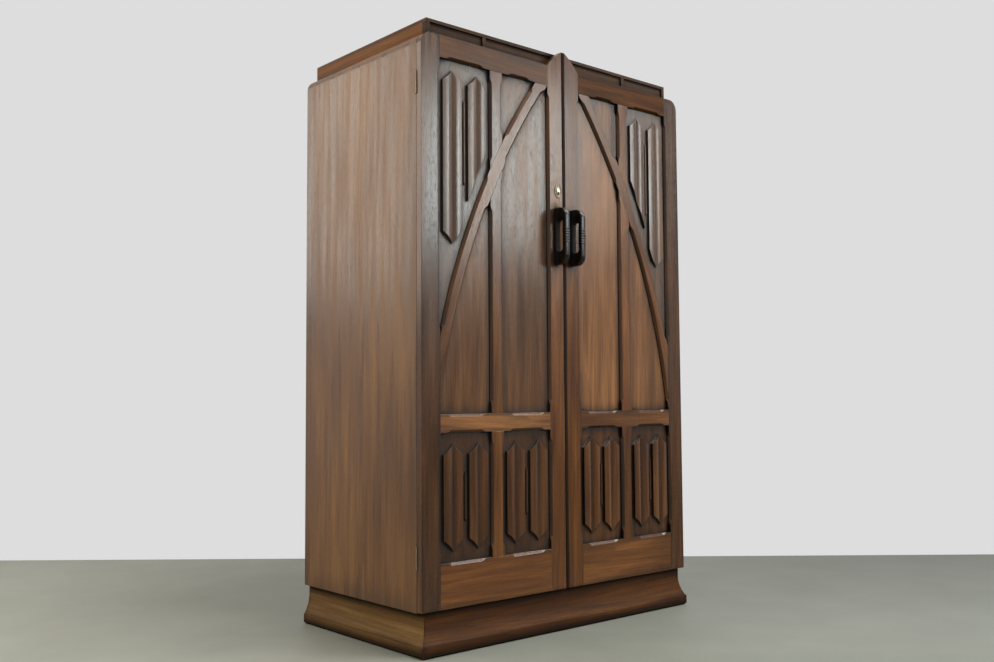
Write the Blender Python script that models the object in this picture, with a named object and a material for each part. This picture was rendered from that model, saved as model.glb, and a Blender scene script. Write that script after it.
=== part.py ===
"""Free-standing two-door wardrobe in dark oak, with linenfold panels and curved braces.

Units are metres. X runs along the front, Y from the doors to the back, Z is up.
The origin is on the floor, under the middle of the whole object.
"""

import math

import bmesh
import bpy
from mathutils import Vector

# Clearances
GAP = 0.0003             # between pieces that touch
CUT = 0.002              # how far a cutter reaches past what it cuts

# Case
WIDTH = 1.120            # over the side panels
DEPTH = 0.620            # door fronts to the back
CASE_TOP = 1.750         # floor to the top of the case and of the doors
SIDE = 0.024
BOARD = 0.024            # top and bottom boards
BACK = 0.008
SHOULDER = 0.035         # radius of the rounded top corners
HOUSING = 0.008          # how far boards and shelf are housed in the sides
HOUSING_HEIGHT = 0.010
HOUSING_COVER = 0.001    # least wood over the top housing, under the rounded corner
REBATE = 0.010           # rebate of the sides round the back panel
BACK_DROP = 0.012        # top of the back panel below the top of the case

# Frieze on top of the case
FRIEZE = 0.050
FRIEZE_INSET = 0.036     # each end, from the side panel
FRIEZE_BOARD = 0.018
FRIEZE_CAP = 0.010
FRIEZE_FIELD = 0.005     # depth of the sunk fields
FRIEZE_POST = 0.013
FRIEZE_QUARTER = 0.307   # the inner posts, from the middle

# Plinth
PLINTH = 0.121
PLINTH_BOARD = 0.024
PLINTH_INSET = 0.017     # neck, in from the side panel
PLINTH_SETBACK = 0.012   # neck, behind the door fronts
FOOT = 0.032             # height of the upright band at the floor
FOOT_OUT = 0.020         # band, out from the neck
FOOT_ROUND = 0.006
COVE_OUT = 0.017
COVE_TOP = 0.095

# Fittings inside
SHELF = 0.018
SHELF_DOWN = 0.286       # top board's underside to the shelf's
SHELF_SETBACK = 0.035
RAIL_RADIUS = 0.0125
RAIL_DOWN = 0.055        # shelf's underside to the middle of the rail
SOCKET_RADIUS = 0.020
SOCKET = 0.012
SOCKET_BORE = 0.009

# Door frames, each door measured from the middle of the front
DOOR = 0.022
DOOR_BEHIND = 0.001      # door back to case front
DOOR_BELOW = 0.003       # door bottom to plinth
MEETING = 0.002          # between the two doors
MEETING_STILE = 0.068
MEETING_CHAMFER = 0.006
OUTER_STILE = 0.066
MUNTIN = 0.048
TOP_RAIL = 0.065
MIDDLE_RAIL = 0.053
BOTTOM_RAIL = 0.126
LOW_PANEL = 0.362
BRACE = 0.040
BRACE_BOW = 0.072        # rise of the brace's lower edge over its chord
PEAK = 0.057             # rise of the meeting stiles over the rails
PEAK_SWELL = 1.3
HALVING = 0.009          # front face to the half-lap of brace and muntin
CHAMFER = 0.0075
CHAMFER_STOP = 0.022     # corner to the start of a chamfer
CHAMFER_RUN = 0.016      # length over which it runs out
TENON = 0.028
STUB = 0.010
TENON_SHOULDER = 0.010

# Panels
GROOVE = 0.010           # door front to the panel's ground
PANEL = 0.007
TONGUE = 0.008
FOLD_MARGIN = 0.013
FOLD_SPACE = 0.0225      # ground left between two folds
FOLD_END = 0.028         # opening to the tip of a fold
FOLD_POINT = 0.030       # length of the pointed end
FOLD_CURVE = 0.85        # below 1 the pointed end swells
FOLD_VALLEY = 0.0042     # ground to the groove down the middle of a fold
FOLD_CREST = 0.0092      # ground to the top of the roll beside it
FOLD_RIM = 0.0078
FOLD_CREST_AT = 0.5      # share of a fold's half width where the roll is highest
FOLD_STEPS = 8           # facets on each half of a fold
TIP_OVER_BRACE = 0.098   # brace to the long fold's tip
LONG_OVER_BRACE = 0.057
SHORT_OVER_BRACE = 0.070
BEAD = 0.009             # width of the bead between two folds
BEAD_RISE = 0.0055
BEAD_FALL = 0.0035       # from its crown to its edges
BEAD_END = 0.110         # opening to the end of a bead
BEAD_POINT = 0.007
BEAD_OVER_BRACE = 0.145

# Handles
HANDLE = 0.178
HANDLE_OUT = 0.052
HANDLE_THICK = 0.020
HANDLE_CORNER = 0.030
HANDLE_FOOT = 0.010      # door to the finger gap
HANDLE_GRIP = 0.015
HANDLE_SLOT = 0.098
HANDLE_SLOT_ROUND = 0.011
HANDLE_EASE = 0.004
HANDLE_Z = 1.211
RIBS = 6
RIB_PITCH = 0.0082
RIB = 0.0052
RIB_FLAT = 0.6           # share of a rib between its chamfers
RIB_OUT = 0.0008
RIB_SINK = 0.0012        # depth of those chamfers

# Hinges
KNUCKLE = 0.003
AXIS_OUT = 0.0006        # side panel to the hinge axis
PIN = 0.0014
LEAF = 0.0014
LEAF_WIDTH = 0.020
LEAF_APART = 0.0003
HINGE = 0.064
HINGE_FROM_END = 0.147   # middle of a hinge, from the door's end

# Lock in the left door, bolt behind the right one
LOCK_Z = 1.356
LOCK_HEIGHT = 0.068
LOCK_DEEP = 0.040
LOCK_THICK = 0.009
LOCK_FRONT = 0.0085      # door front to the lock case
LOCK_BOLT_HEIGHT = 0.012
LOCK_BOLT_THICK = 0.0055
LOCK_BOLT_LENGTH = 0.030
LOCK_THROW = 0.012
LOCK_EDGE = 0.0012       # bolt end inside the door's edge when drawn back
PLATE_WIDTH = 0.028
PLATE_HEIGHT = 0.044
PLATE = 0.0016
KEYHOLE = 0.0038
KEY_SLOT = 0.0032
KEY_DROP = 0.012
KEY_IN = 0.027           # keyhole, from the middle of the front
BOLT_PLATE_WIDTH = 0.026
BOLT_PLATE_HEIGHT = 0.110
BOLT_PLATE = 0.003
BOLT_RADIUS = 0.004
BOLT_OUT = 0.012         # door back to the rod's middle
BOLT_STAPLE = 0.014
BOLT_THROW = 0.014
BOLT_BELOW = 0.006       # rod end under the top board when drawn back
BOLT_KNOB = 0.0035
BOLT_KNOB_OUT = 0.012

# Facets
ROUND = 16
ARC_STEPS = 10
BRACE_FACET = 0.040

# Finishes: colour, roughness, metallic
OAK = ("#4b2d1c", 0.36, 0.0)
OAK_PANEL = ("#3f2618", 0.40, 0.0)
OAK_INSIDE = ("#6a4a31", 0.60, 0.0)
EBONISED = ("#0e0b0a", 0.28, 0.0)
BRASS = ("#9a7a45", 0.32, 1.0)
STEEL = ("#5d5750", 0.45, 1.0)

# Worked out from the sizes above
FRONT = (HANDLE_OUT - DEPTH) / 2
CASE_FRONT = DOOR + DOOR_BEHIND
JOINT = DOOR + DOOR_BEHIND / 2
SIDE_IN = WIDTH / 2 - SIDE
AXIS = WIDTH / 2 + AXIS_OUT
U_EDGE = MEETING / 2
U_INNER = MEETING_STILE
U_OUTER = WIDTH / 2 - OUTER_STILE
MUNTIN_IN = (U_INNER + U_OUTER - MUNTIN) / 2
MUNTIN_OUT = MUNTIN_IN + MUNTIN
U_HANDLE = (U_EDGE + U_INNER) / 2
Z_DOOR = PLINTH + DOOR_BELOW
Z_LOW = Z_DOOR + BOTTOM_RAIL
Z_MIDDLE = Z_LOW + LOW_PANEL
Z_UPPER = Z_MIDDLE + MIDDLE_RAIL
Z_TOP = CASE_TOP - TOP_RAIL
TOP_UNDER = CASE_TOP - BOARD
SHELF_Z = TOP_UNDER - SHELF_DOWN
RAIL_Z = SHELF_Z - RAIL_DOWN
CHORD = Vector((U_OUTER - U_INNER, Z_UPPER - Z_TOP))
BRACE_LOW = CHORD.length_squared / (8 * BRACE_BOW) + BRACE_BOW / 2
BRACE_HIGH = BRACE_LOW + BRACE
BRACE_TO = Vector((-CHORD.y, CHORD.x)).normalized()
BRACE_CENTRE = Vector((U_INNER, Z_TOP)) + CHORD / 2 - BRACE_TO * (BRACE_LOW - BRACE_BOW)
LOCK_MIDDLE = LOCK_FRONT + LOCK_THICK / 2
BOLT_DEPTH = DOOR + BOLT_OUT


# Building blocks

def clear_scene():
    for obj in list(bpy.data.objects):
        bpy.data.objects.remove(obj, do_unlink=True)


def linear(hex_colour):
    parts = [int(hex_colour[i:i + 2], 16) / 255 for i in (1, 3, 5)]
    return [p / 12.92 if p <= 0.04045 else ((p + 0.055) / 1.055) ** 2.4 for p in parts] + [1.0]


def paint(obj, finish):
    colour, roughness, metallic = finish
    material = bpy.data.materials.new(obj.name)
    material.use_nodes = True
    shader = material.node_tree.nodes["Principled BSDF"]
    shader.inputs["Base Color"].default_value = linear(colour)
    shader.inputs["Roughness"].default_value = roughness
    shader.inputs["Metallic"].default_value = metallic
    obj.data.materials.append(material)


def place(x, depth, z):
    """A point given by its distance behind the door fronts."""
    return Vector((x, FRONT + depth, z))


def outward_volume(faces):
    """Three times the volume inside the faces, below zero where they face inwards."""
    inside = faces[0].verts[0].co.copy()
    for face in faces:
        face.normal_update()
    return sum(f.calc_area() * f.normal.dot(f.calc_center_median() - inside) for f in faces)


def add_loft(bm, loops, closed=False):
    """One closed body skinned through loops of as many points each, its faces turned outwards."""
    rings = [[bm.verts.new(point) for point in loop] for loop in loops]
    pairs = list(zip(rings, rings[1:]))
    faces = []
    if closed:
        pairs.append((rings[-1], rings[0]))
    else:
        faces = [bm.faces.new(rings[0][::-1]), bm.faces.new(rings[-1])]
    for near, far in pairs:
        for i in range(len(near)):
            j = (i + 1) % len(near)
            faces.append(bm.faces.new((near[i], near[j], far[j], far[i])))
    if outward_volume(faces) < 0:
        bmesh.ops.reverse_faces(bm, faces=faces)


def make(name, lofts, closed=False):
    bm = bmesh.new()
    for loops in lofts:
        add_loft(bm, loops, closed)
    mesh = bpy.data.meshes.new(name)
    bm.to_mesh(mesh)
    bm.free()
    mesh.shade_smooth()
    mesh.set_sharp_from_angle(angle=math.radians(35))
    obj = bpy.data.objects.new(name, mesh)
    bpy.context.scene.collection.objects.link(obj)
    return obj


def piece(name, lofts, finish, parent, closed=False):
    obj = make(name, lofts, closed)
    paint(obj, finish)
    obj.parent = parent
    obj.matrix_parent_inverse = parent.matrix_basis.inverted()
    return obj


def helper(name, lofts, closed=False):
    obj = make(name, lofts, closed)
    obj.hide_render = True
    obj.display_type = "WIRE"
    return obj


def combine(obj, operation, others):
    for other in others:
        modifier = obj.modifiers.new(other.name, "BOOLEAN")
        modifier.operation = operation
        modifier.object = other


def cut(obj, *others):
    combine(obj, "DIFFERENCE", others)


def join(obj, *others):
    combine(obj, "UNION", others)


def pivot(name, location):
    empty = bpy.data.objects.new(name, None)
    empty.location = location
    bpy.context.scene.collection.objects.link(empty)
    return empty


def rectangle(a0, a1, b0, b1):
    return [(a0, b0), (a1, b0), (a1, b1), (a0, b1)]


def slab(outline, near, far, side=1):
    """An outline of (x, z) points drawn out from one depth to another."""
    return [[place(side * x, depth, z) for x, z in outline] for depth in (near, far)]


def block(x0, x1, near, far, z0, z1, side=1):
    return slab(rectangle(x0, x1, z0, z1), near, far, side)


def arc(centre, radius, start, end, steps):
    """Points on a circle, with the angles in radians."""
    turns = [start + (end - start) * i / steps for i in range(steps + 1)]
    return [(centre[0] + radius * math.cos(a), centre[1] + radius * math.sin(a)) for a in turns]


def disc(centre, radius, axis):
    """A ring of points round a centre, about the axis named x, y or z."""
    flat = arc((0, 0), radius, 0, 2 * math.pi, ROUND)[:-1]
    lift = {"x": lambda a, b: (0, a, b), "y": lambda a, b: (a, 0, b), "z": lambda a, b: (a, b, 0)}
    return [centre + Vector(lift[axis](a, b)) for a, b in flat]


def cylinder(start, end, radius, axis):
    return [disc(start, radius, axis), disc(end, radius, axis)]


def grow(outline, distance):
    """An outline, run anticlockwise, moved outwards by a distance and kept square at its tips."""
    grown = []
    for i, point in enumerate(outline):
        here = Vector(point)
        back = here - Vector(outline[i - 1])
        ahead = Vector(outline[(i + 1) % len(outline)]) - here
        n0 = Vector((back.y, -back.x)).normalized()
        n1 = Vector((ahead.y, -ahead.x)).normalized()
        grown.append(here + (n0 + n1) * distance / (1 + n0.dot(n1)))
    us = [u for u, _ in outline]
    zs = [z for _, z in outline]
    limits = ((0, max(us), 1), (0, min(us), -1), (1, max(zs), 1), (1, min(zs), -1))
    for axis, edge, sign in limits:
        grown = clip(grown, axis, edge + sign * distance, sign)
    return grown


def clip(outline, axis, limit, sign):
    """The part of an outline on the inner side of a straight line."""
    kept = []
    for i, here in enumerate(outline):
        last = outline[i - 1]
        inside, was = sign * (limit - here[axis]) >= 0, sign * (limit - last[axis]) >= 0
        if inside != was:
            kept.append(last.lerp(here, (limit - last[axis]) / (here[axis] - last[axis])))
        if inside:
            kept.append(here)
    return kept


# Case

def shoulder_z(x):
    """Height of the case's rounded top at a distance from the middle."""
    over = max(0.0, x - (WIDTH / 2 - SHOULDER))
    return CASE_TOP - SHOULDER + math.sqrt(SHOULDER ** 2 - over ** 2)


def shoulder(x0, x1):
    """Points of the rounded top between two distances from the middle."""
    centre = (WIDTH / 2 - SHOULDER, CASE_TOP - SHOULDER)
    turns = [math.acos(min(1.0, max(0.0, (x - centre[0]) / SHOULDER))) for x in (x0, x1)]
    return arc(centre, SHOULDER, turns[0], turns[1], ARC_STEPS)


def side_panel(name, side, case, cutters):
    outline = [(SIDE_IN, PLINTH), (WIDTH / 2, PLINTH)] + shoulder(WIDTH / 2, SIDE_IN)
    if SHOULDER < SIDE:
        outline.append((SIDE_IN, CASE_TOP))
    panel = piece(name, [slab(outline, CASE_FRONT, DEPTH, side)], OAK, case)
    cut(panel, *cutters)


def board_outline(z0, z1, tongue_z):
    """Half of a board with its housed tongue, from its underside up."""
    end = SIDE_IN - GAP
    tip = SIDE_IN + HOUSING - GAP
    tongue = [(end, tongue_z), (tip, tongue_z), (tip, tongue_z + HOUSING_HEIGHT)]
    return [(end, z0)] + tongue + [(end, tongue_z + HOUSING_HEIGHT), (end, z1)]


def mirrored(half):
    return half + [(-x, z) for x, z in reversed(half)]


def tongue_z(z0):
    """Underside of a board's tongue: half way up the board, but under the rounded corner."""
    under_corner = shoulder_z(SIDE_IN + HOUSING) - HOUSING_COVER - HOUSING_HEIGHT
    return min(z0 + (BOARD - HOUSING_HEIGHT) / 2, under_corner)


def case_boards(case):
    end = SIDE_IN - GAP
    top = board_outline(TOP_UNDER, shoulder_z(end), tongue_z(TOP_UNDER))
    if SHOULDER > SIDE:
        top = top[:-1] + shoulder(end, WIDTH / 2 - SHOULDER)
    top_board = piece("top_board", [slab(mirrored(top), CASE_FRONT, DEPTH)], OAK, case)
    back_z = CASE_TOP - BACK_DROP
    notch = block(-WIDTH, WIDTH, DEPTH - BACK - GAP, DEPTH + CUT, TOP_UNDER - CUT, back_z + GAP)
    bolt_hole = cylinder(
        place(U_HANDLE, BOLT_DEPTH, TOP_UNDER - CUT),
        place(U_HANDLE, BOLT_DEPTH, TOP_UNDER + BOLT_THROW),
        BOLT_RADIUS + 2 * GAP,
        "z",
    )
    cut(top_board, helper("cut_back_notch", [notch]), helper("cut_bolt_hole", [bolt_hole]))
    bottom = mirrored(board_outline(PLINTH, PLINTH + BOARD, tongue_z(PLINTH)))
    piece("bottom_board", [slab(bottom, CASE_FRONT, DEPTH - BACK - GAP)], OAK_INSIDE, case)
    wide = SIDE_IN + REBATE
    back = block(-wide, wide, DEPTH - BACK, DEPTH, PLINTH + GAP, back_z)
    piece("back_panel", [back], OAK_INSIDE, case)


def housing_cutters(side, name):
    """What the side panels lose to the boards, the shelf and the back."""
    near, far = SIDE_IN - CUT, SIDE_IN + HOUSING
    blocks = [
        block(near, far, CASE_FRONT - CUT, DEPTH + CUT, z - GAP, z + HOUSING_HEIGHT + GAP, side)
        for z in (tongue_z(TOP_UNDER), tongue_z(PLINTH))
    ]
    front = CASE_FRONT + SHELF_SETBACK - GAP
    blocks.append(block(near, far, front, DEPTH - BACK, SHELF_Z - GAP, SHELF_Z + SHELF + GAP, side))
    back_z = CASE_TOP - BACK_DROP + GAP
    behind = DEPTH - BACK - GAP
    blocks.append(
        block(near, SIDE_IN + REBATE + GAP, behind, DEPTH + CUT, PLINTH - CUT, back_z, side)
    )
    return [helper(f"cut_{name}_{i}", [loops]) for i, loops in enumerate(blocks)]


def shelf_and_rail(case):
    wide = SIDE_IN + HOUSING - GAP
    behind = DEPTH - BACK - GAP
    shelf = block(-wide, wide, CASE_FRONT + SHELF_SETBACK, behind, SHELF_Z, SHELF_Z + SHELF)
    piece("hat_shelf", [shelf], OAK_INSIDE, case)
    middle = (CASE_FRONT + DEPTH - BACK) / 2
    reach = SIDE_IN - GAP - SOCKET + SOCKET_BORE - GAP
    rail = cylinder(place(-reach, middle, RAIL_Z), place(reach, middle, RAIL_Z), RAIL_RADIUS, "x")
    piece("hanging_rail", [rail], STEEL, case)
    for name, side in (("rail_socket_left", -1), ("rail_socket_right", 1)):
        outer = place(side * (SIDE_IN - GAP), middle, RAIL_Z)
        inner = place(side * (SIDE_IN - GAP - SOCKET), middle, RAIL_Z)
        floor = place(side * (SIDE_IN - GAP - SOCKET + SOCKET_BORE), middle, RAIL_Z)
        mouth = place(side * (SIDE_IN - GAP - SOCKET - CUT), middle, RAIL_Z)
        socket = piece(name, [cylinder(outer, inner, SOCKET_RADIUS, "x")], BRASS, case)
        bore = cylinder(floor, mouth, RAIL_RADIUS + GAP, "x")
        cut(socket, helper("cut_" + name, [bore]))


def frieze(case):
    half = WIDTH / 2 - FRIEZE_INSET
    z0, z1 = CASE_TOP + GAP, CASE_TOP + FRIEZE - FRIEZE_CAP - GAP
    near = CASE_FRONT + GAP
    front = piece("frieze_front", [block(-half, half, near, near + FRIEZE_BOARD, z0, z1)], OAK, case)
    posts = [-half, -FRIEZE_QUARTER, 0, FRIEZE_QUARTER, half]
    fields = []
    for left, right in zip(posts, posts[1:]):
        x0 = left + (FRIEZE_POST if left == -half else FRIEZE_POST / 2)
        x1 = right - (FRIEZE_POST if right == half else FRIEZE_POST / 2)
        fields.append(block(x0, x1, near - CUT, near + FRIEZE_FIELD, z0 - CUT, z1 + CUT))
    cut(front, helper("cut_frieze_fields", fields))
    for name, side in (("frieze_left", -1), ("frieze_right", 1)):
        end = block(half - FRIEZE_BOARD, half, near + FRIEZE_BOARD + GAP, DEPTH, z0, z1, side)
        piece(name, [end], OAK, case)
    cap = block(-half, half, near, DEPTH, z1 + GAP, CASE_TOP + FRIEZE)
    piece("frieze_cap", [cap], OAK, case)


def plinth_profile():
    """Points (out from the neck, height) round the moulding, from the inner foot."""
    cove = []
    for i in range(ARC_STEPS + 1):
        share = 1 - i / ARC_STEPS
        cove.append((COVE_OUT * share ** 2, COVE_TOP - share * (COVE_TOP - FOOT - GAP)))
    foot = [(FOOT_OUT - FOOT_ROUND, 0), (FOOT_OUT, FOOT_ROUND), (FOOT_OUT, FOOT - GAP)]
    top = PLINTH - GAP
    return [(-PLINTH_BOARD, 0)] + foot + cove + [(0, top), (-PLINTH_BOARD, top)]


def plinth(case):
    neck = WIDTH / 2 - PLINTH_INSET
    profile = plinth_profile()
    ends = [
        [place(side * (neck + out - GAP), PLINTH_SETBACK - out, z) for out, z in profile]
        for side in (-1, 1)
    ]
    piece("plinth_front", [ends], OAK, case)
    for name, side in (("plinth_left", -1), ("plinth_right", 1)):
        mitre = [place(side * (neck + out), PLINTH_SETBACK - out + GAP, z) for out, z in profile]
        tail = [place(side * (neck + out), DEPTH, z) for out, z in profile]
        piece(name, [[mitre, tail]], OAK, case)
    inside = neck - PLINTH_BOARD - GAP
    rail = block(-inside, inside, DEPTH - PLINTH_BOARD, DEPTH, 0, PLINTH - GAP)
    piece("plinth_back", [rail], OAK_INSIDE, case)


# Hinges

def hinge_heights():
    return {"low": Z_DOOR + HINGE_FROM_END, "high": CASE_TOP - HINGE_FROM_END}


def knuckle_ends(z):
    """Lower end, the two partings and the upper end of a hinge's barrel."""
    return [z + HINGE * (i / 3 - 1 / 2) for i in range(4)]


def leaf_outline(z, tabs):
    """A leaf with tabs that reach into the barrel, and cleared beside the other knuckles."""
    z0, z1, z2, z3 = knuckle_ends(z)
    inner, outer = WIDTH / 2 - LEAF_WIDTH, AXIS - KNUCKLE - GAP
    tab = AXIS - (PIN + KNUCKLE) / 2
    if tabs == "middle":
        edge = [(outer, z0), (outer, z1 + GAP), (tab, z1 + GAP)]
        edge += [(tab, z2 - GAP), (outer, z2 - GAP), (outer, z3)]
    else:
        edge = [(tab, z0), (tab, z1), (outer, z1), (outer, z2), (tab, z2), (tab, z3)]
    return [(inner, z0)] + edge + [(inner, z3)]


def frame_leaf(name, side, z, case):
    z0, z1, z2, z3 = knuckle_ends(z)
    near = JOINT + LEAF_APART / 2
    leaf = piece(name, [slab(leaf_outline(z, "ends"), near, near + LEAF, side)], STEEL, case)
    turned = [(z0, KNUCKLE), (z1, KNUCKLE), (z1, PIN), (z2, PIN), (z2, KNUCKLE), (z3, KNUCKLE)]
    barrel = [disc(place(side * AXIS, JOINT, height), radius, "z") for height, radius in turned]
    join(leaf, helper("barrel_" + name, [barrel]))


def door_leaf(name, side, z, hinge):
    _, z1, z2, _ = knuckle_ends(z)
    far = JOINT - LEAF_APART / 2
    leaf = piece(name, [slab(leaf_outline(z, "middle"), far - LEAF, far, side)], STEEL, hinge)
    bore = PIN + GAP
    walls = [(z1 + GAP, KNUCKLE), (z2 - GAP, KNUCKLE), (z2 - GAP, bore), (z1 + GAP, bore)]
    barrel = [disc(place(side * AXIS, JOINT, height), radius, "z") for height, radius in walls]
    join(leaf, helper("barrel_" + name, [barrel], closed=True))


def leaf_sinkings(side, name):
    """Beds for the leaves, in the side panel and in the door, and a cove in both for the barrels."""
    inner = WIDTH / 2 - LEAF_WIDTH - GAP
    half = HINGE / 2 + GAP
    beds = []
    for near, far in (
        (CASE_FRONT - CUT, JOINT + LEAF_APART / 2 + LEAF + GAP),
        (JOINT - LEAF_APART / 2 - LEAF - GAP, DOOR + CUT),
    ):
        lofts = [
            block(inner, WIDTH / 2 + CUT, near, far, z - half, z + half, side)
            for z in hinge_heights().values()
        ]
        beds.append(lofts)
    beds.append([
        cylinder(
            place(side * AXIS, JOINT, z - half), place(side * AXIS, JOINT, z + half), KNUCKLE + GAP, "z"
        )
        for z in hinge_heights().values()
    ])
    return [helper(f"cut_{name}_bed_{i}", lofts) for i, lofts in enumerate(beds)]


# Door openings: each is a list of edges run anticlockwise, seen from the front

def edge_z(u, radius):
    return BRACE_CENTRE.y + math.sqrt(radius ** 2 - (u - BRACE_CENTRE.x) ** 2)


def edge_u(z, radius):
    return BRACE_CENTRE.x + math.sqrt(radius ** 2 - (z - BRACE_CENTRE.y) ** 2)


def brace_edge(radius, u0, u1):
    """One edge of the brace between two distances from the middle."""
    turns = [math.acos((u - BRACE_CENTRE.x) / radius) for u in (u0, u1)]
    steps = math.ceil(abs(turns[1] - turns[0]) * radius / BRACE_FACET)
    return arc(BRACE_CENTRE, radius, turns[0], turns[1], steps)


def straight_edges(*corners):
    return [[a, b] for a, b in zip(corners, corners[1:])]


def openings():
    tip = edge_u(Z_TOP, BRACE_HIGH)
    linen = straight_edges(
        (U_OUTER, edge_z(U_OUTER, BRACE_HIGH)),
        (U_OUTER, Z_TOP),
        (MUNTIN_OUT, Z_TOP),
        (MUNTIN_OUT, edge_z(MUNTIN_OUT, BRACE_HIGH)),
    )
    linen.append(brace_edge(BRACE_HIGH, MUNTIN_OUT, U_OUTER))
    corner = straight_edges(
        (MUNTIN_IN, edge_z(MUNTIN_IN, BRACE_HIGH)), (MUNTIN_IN, Z_TOP), (tip, Z_TOP)
    )
    corner.append(brace_edge(BRACE_HIGH, tip, MUNTIN_IN))
    inner = straight_edges(
        (U_INNER, Z_TOP),
        (U_INNER, Z_UPPER),
        (MUNTIN_IN, Z_UPPER),
        (MUNTIN_IN, edge_z(MUNTIN_IN, BRACE_LOW)),
    )
    inner.append(brace_edge(BRACE_LOW, MUNTIN_IN, U_INNER))
    outer = straight_edges(
        (MUNTIN_OUT, edge_z(MUNTIN_OUT, BRACE_LOW)), (MUNTIN_OUT, Z_UPPER), (U_OUTER, Z_UPPER)
    )
    outer.append(brace_edge(BRACE_LOW, U_OUTER, MUNTIN_OUT))
    low_outer = rectangle(MUNTIN_OUT, U_OUTER, Z_LOW, Z_MIDDLE)
    low_inner = rectangle(U_INNER, MUNTIN_IN, Z_LOW, Z_MIDDLE)
    return {
        "upper_linenfold": linen,
        "corner_panel": corner,
        "inner_panel": inner,
        "outer_panel": outer,
        "low_outer_linenfold": straight_edges(*low_outer, low_outer[0]),
        "low_inner_linenfold": straight_edges(*low_inner, low_inner[0]),
    }


def outline_of(edges):
    return [point for edge in edges for point in edge[:-1]]


def chamfer_stations(path):
    """Points along an edge with the chamfer's width there, running out before both corners."""
    points = [Vector(p) for p in path]
    ends = [0.0]
    for a, b in zip(points, points[1:]):
        ends.append(ends[-1] + (b - a).length)
    first, last = CHAMFER_STOP, ends[-1] - CHAMFER_STOP
    full = [first + CHAMFER_RUN, last - CHAMFER_RUN]
    middle = [s for s in ends if full[0] + GAP < s < full[1] - GAP]
    stations = []
    for s in [first, full[0]] + middle + [full[1], last]:
        i = max(k for k in range(len(points) - 1) if ends[k] <= s)
        along = points[i + 1] - points[i]
        point = points[i] + along * (s - ends[i]) / along.length
        outward = Vector((along.y, -along.x)).normalized()
        stations.append((point, outward, -GAP if s in (first, last) else CHAMFER))
    return stations


def chamfer_cutter(path, side):
    loops = []
    for point, outward, width in chamfer_stations(path):
        inside = point - outward * CUT
        beyond = point + outward * (width + CUT)
        loops.append([
            place(side * beyond.x, -CUT, beyond.y),
            place(side * inside.x, width + CUT, inside.y),
            place(side * inside.x, -CUT, inside.y),
        ])
    return loops


def opening_cutter(name, edges, side):
    """The groove round a panel, and the stopped chamfers in front of it."""
    groove = slab(grow(outline_of(edges), TONGUE + GAP), GROOVE - GAP, GROOVE + PANEL + GAP, side)
    return helper("cut_" + name, [groove] + [chamfer_cutter(edge, side) for edge in edges])


# Linenfold

def fold_height(share):
    """Height over the ground, from the groove at 0 over a roll to the rim at 1."""
    if share < FOLD_CREST_AT:
        return FOLD_VALLEY + (FOLD_CREST - FOLD_VALLEY) * math.sin(math.pi / 2 * share / FOLD_CREST_AT)
    fallen = (share - FOLD_CREST_AT) / (1 - FOLD_CREST_AT)
    return FOLD_RIM + (FOLD_CREST - FOLD_RIM) * math.cos(math.pi / 2 * fallen)


def bead_height(share):
    return BEAD_RISE - BEAD_FALL * share ** 2


def fold(u0, u1, top, bottom, side, height=fold_height):
    """A raised strip with ends given by functions of distance and share."""
    middle, half = (u0 + u1) / 2, (u1 - u0) / 2
    loops = []
    for i in range(-FOLD_STEPS, FOLD_STEPS + 1):
        share = i / FOLD_STEPS
        u = middle + half * share
        raised = height(abs(share))
        upper, lower = top(u, abs(share)), bottom(u, abs(share))
        front, back = GROOVE - raised, GROOVE + PANEL / 2
        loops.append([
            place(side * u, front, upper - raised / 2),
            place(side * u, front, lower + raised / 2),
            place(side * u, back, lower),
            place(side * u, back, upper),
        ])
    return loops


def fold_edges(u0, u1):
    """The two folds of a panel: their outer and inner distances."""
    width = (u1 - u0 - 2 * FOLD_MARGIN - FOLD_SPACE) / 2
    return (u0 + FOLD_MARGIN, u0 + FOLD_MARGIN + width), (u1 - FOLD_MARGIN - width, u1 - FOLD_MARGIN)


def pointed(tip, length):
    """An end that comes to a point in the middle, with the length positive for a lower end."""
    return lambda u, share: tip + length * share ** FOLD_CURVE


def bead(middle, top, bottom, side):
    ends = pointed(top, -BEAD_POINT), pointed(bottom, BEAD_POINT)
    return fold(middle - BEAD / 2, middle + BEAD / 2, *ends, side, bead_height)


def low_folds(u0, u1, side):
    """Two folds with a bead between them."""
    top, bottom = pointed(Z_MIDDLE - FOLD_END, -FOLD_POINT), pointed(Z_LOW + FOLD_END, FOLD_POINT)
    strips = [fold(a, b, top, bottom, side) for a, b in fold_edges(u0, u1)]
    return strips + [bead((u0 + u1) / 2, Z_MIDDLE - BEAD_END, Z_LOW + BEAD_END, side)]


def upper_folds(side):
    """The long outer fold ends in a point over the brace, the short inner one along it."""
    inner, outer = fold_edges(MUNTIN_OUT, U_OUTER)
    middle = (MUNTIN_OUT + U_OUTER) / 2
    top = pointed(Z_TOP - FOLD_END, -FOLD_POINT)
    point = pointed(edge_z(sum(outer) / 2, BRACE_HIGH) + TIP_OVER_BRACE, FOLD_POINT)
    bead_end = edge_z(middle, BRACE_HIGH) + BEAD_OVER_BRACE

    def long_end(u, share):
        return max(point(u, share), edge_z(u, BRACE_HIGH) + LONG_OVER_BRACE)

    def short_end(u, share):
        return edge_z(u, BRACE_HIGH) + SHORT_OVER_BRACE

    strips = [fold(*outer, top, long_end, side), fold(*inner, top, short_end, side)]
    return strips + [bead(middle, Z_TOP - BEAD_END, bead_end, side)]


# Doors

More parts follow.
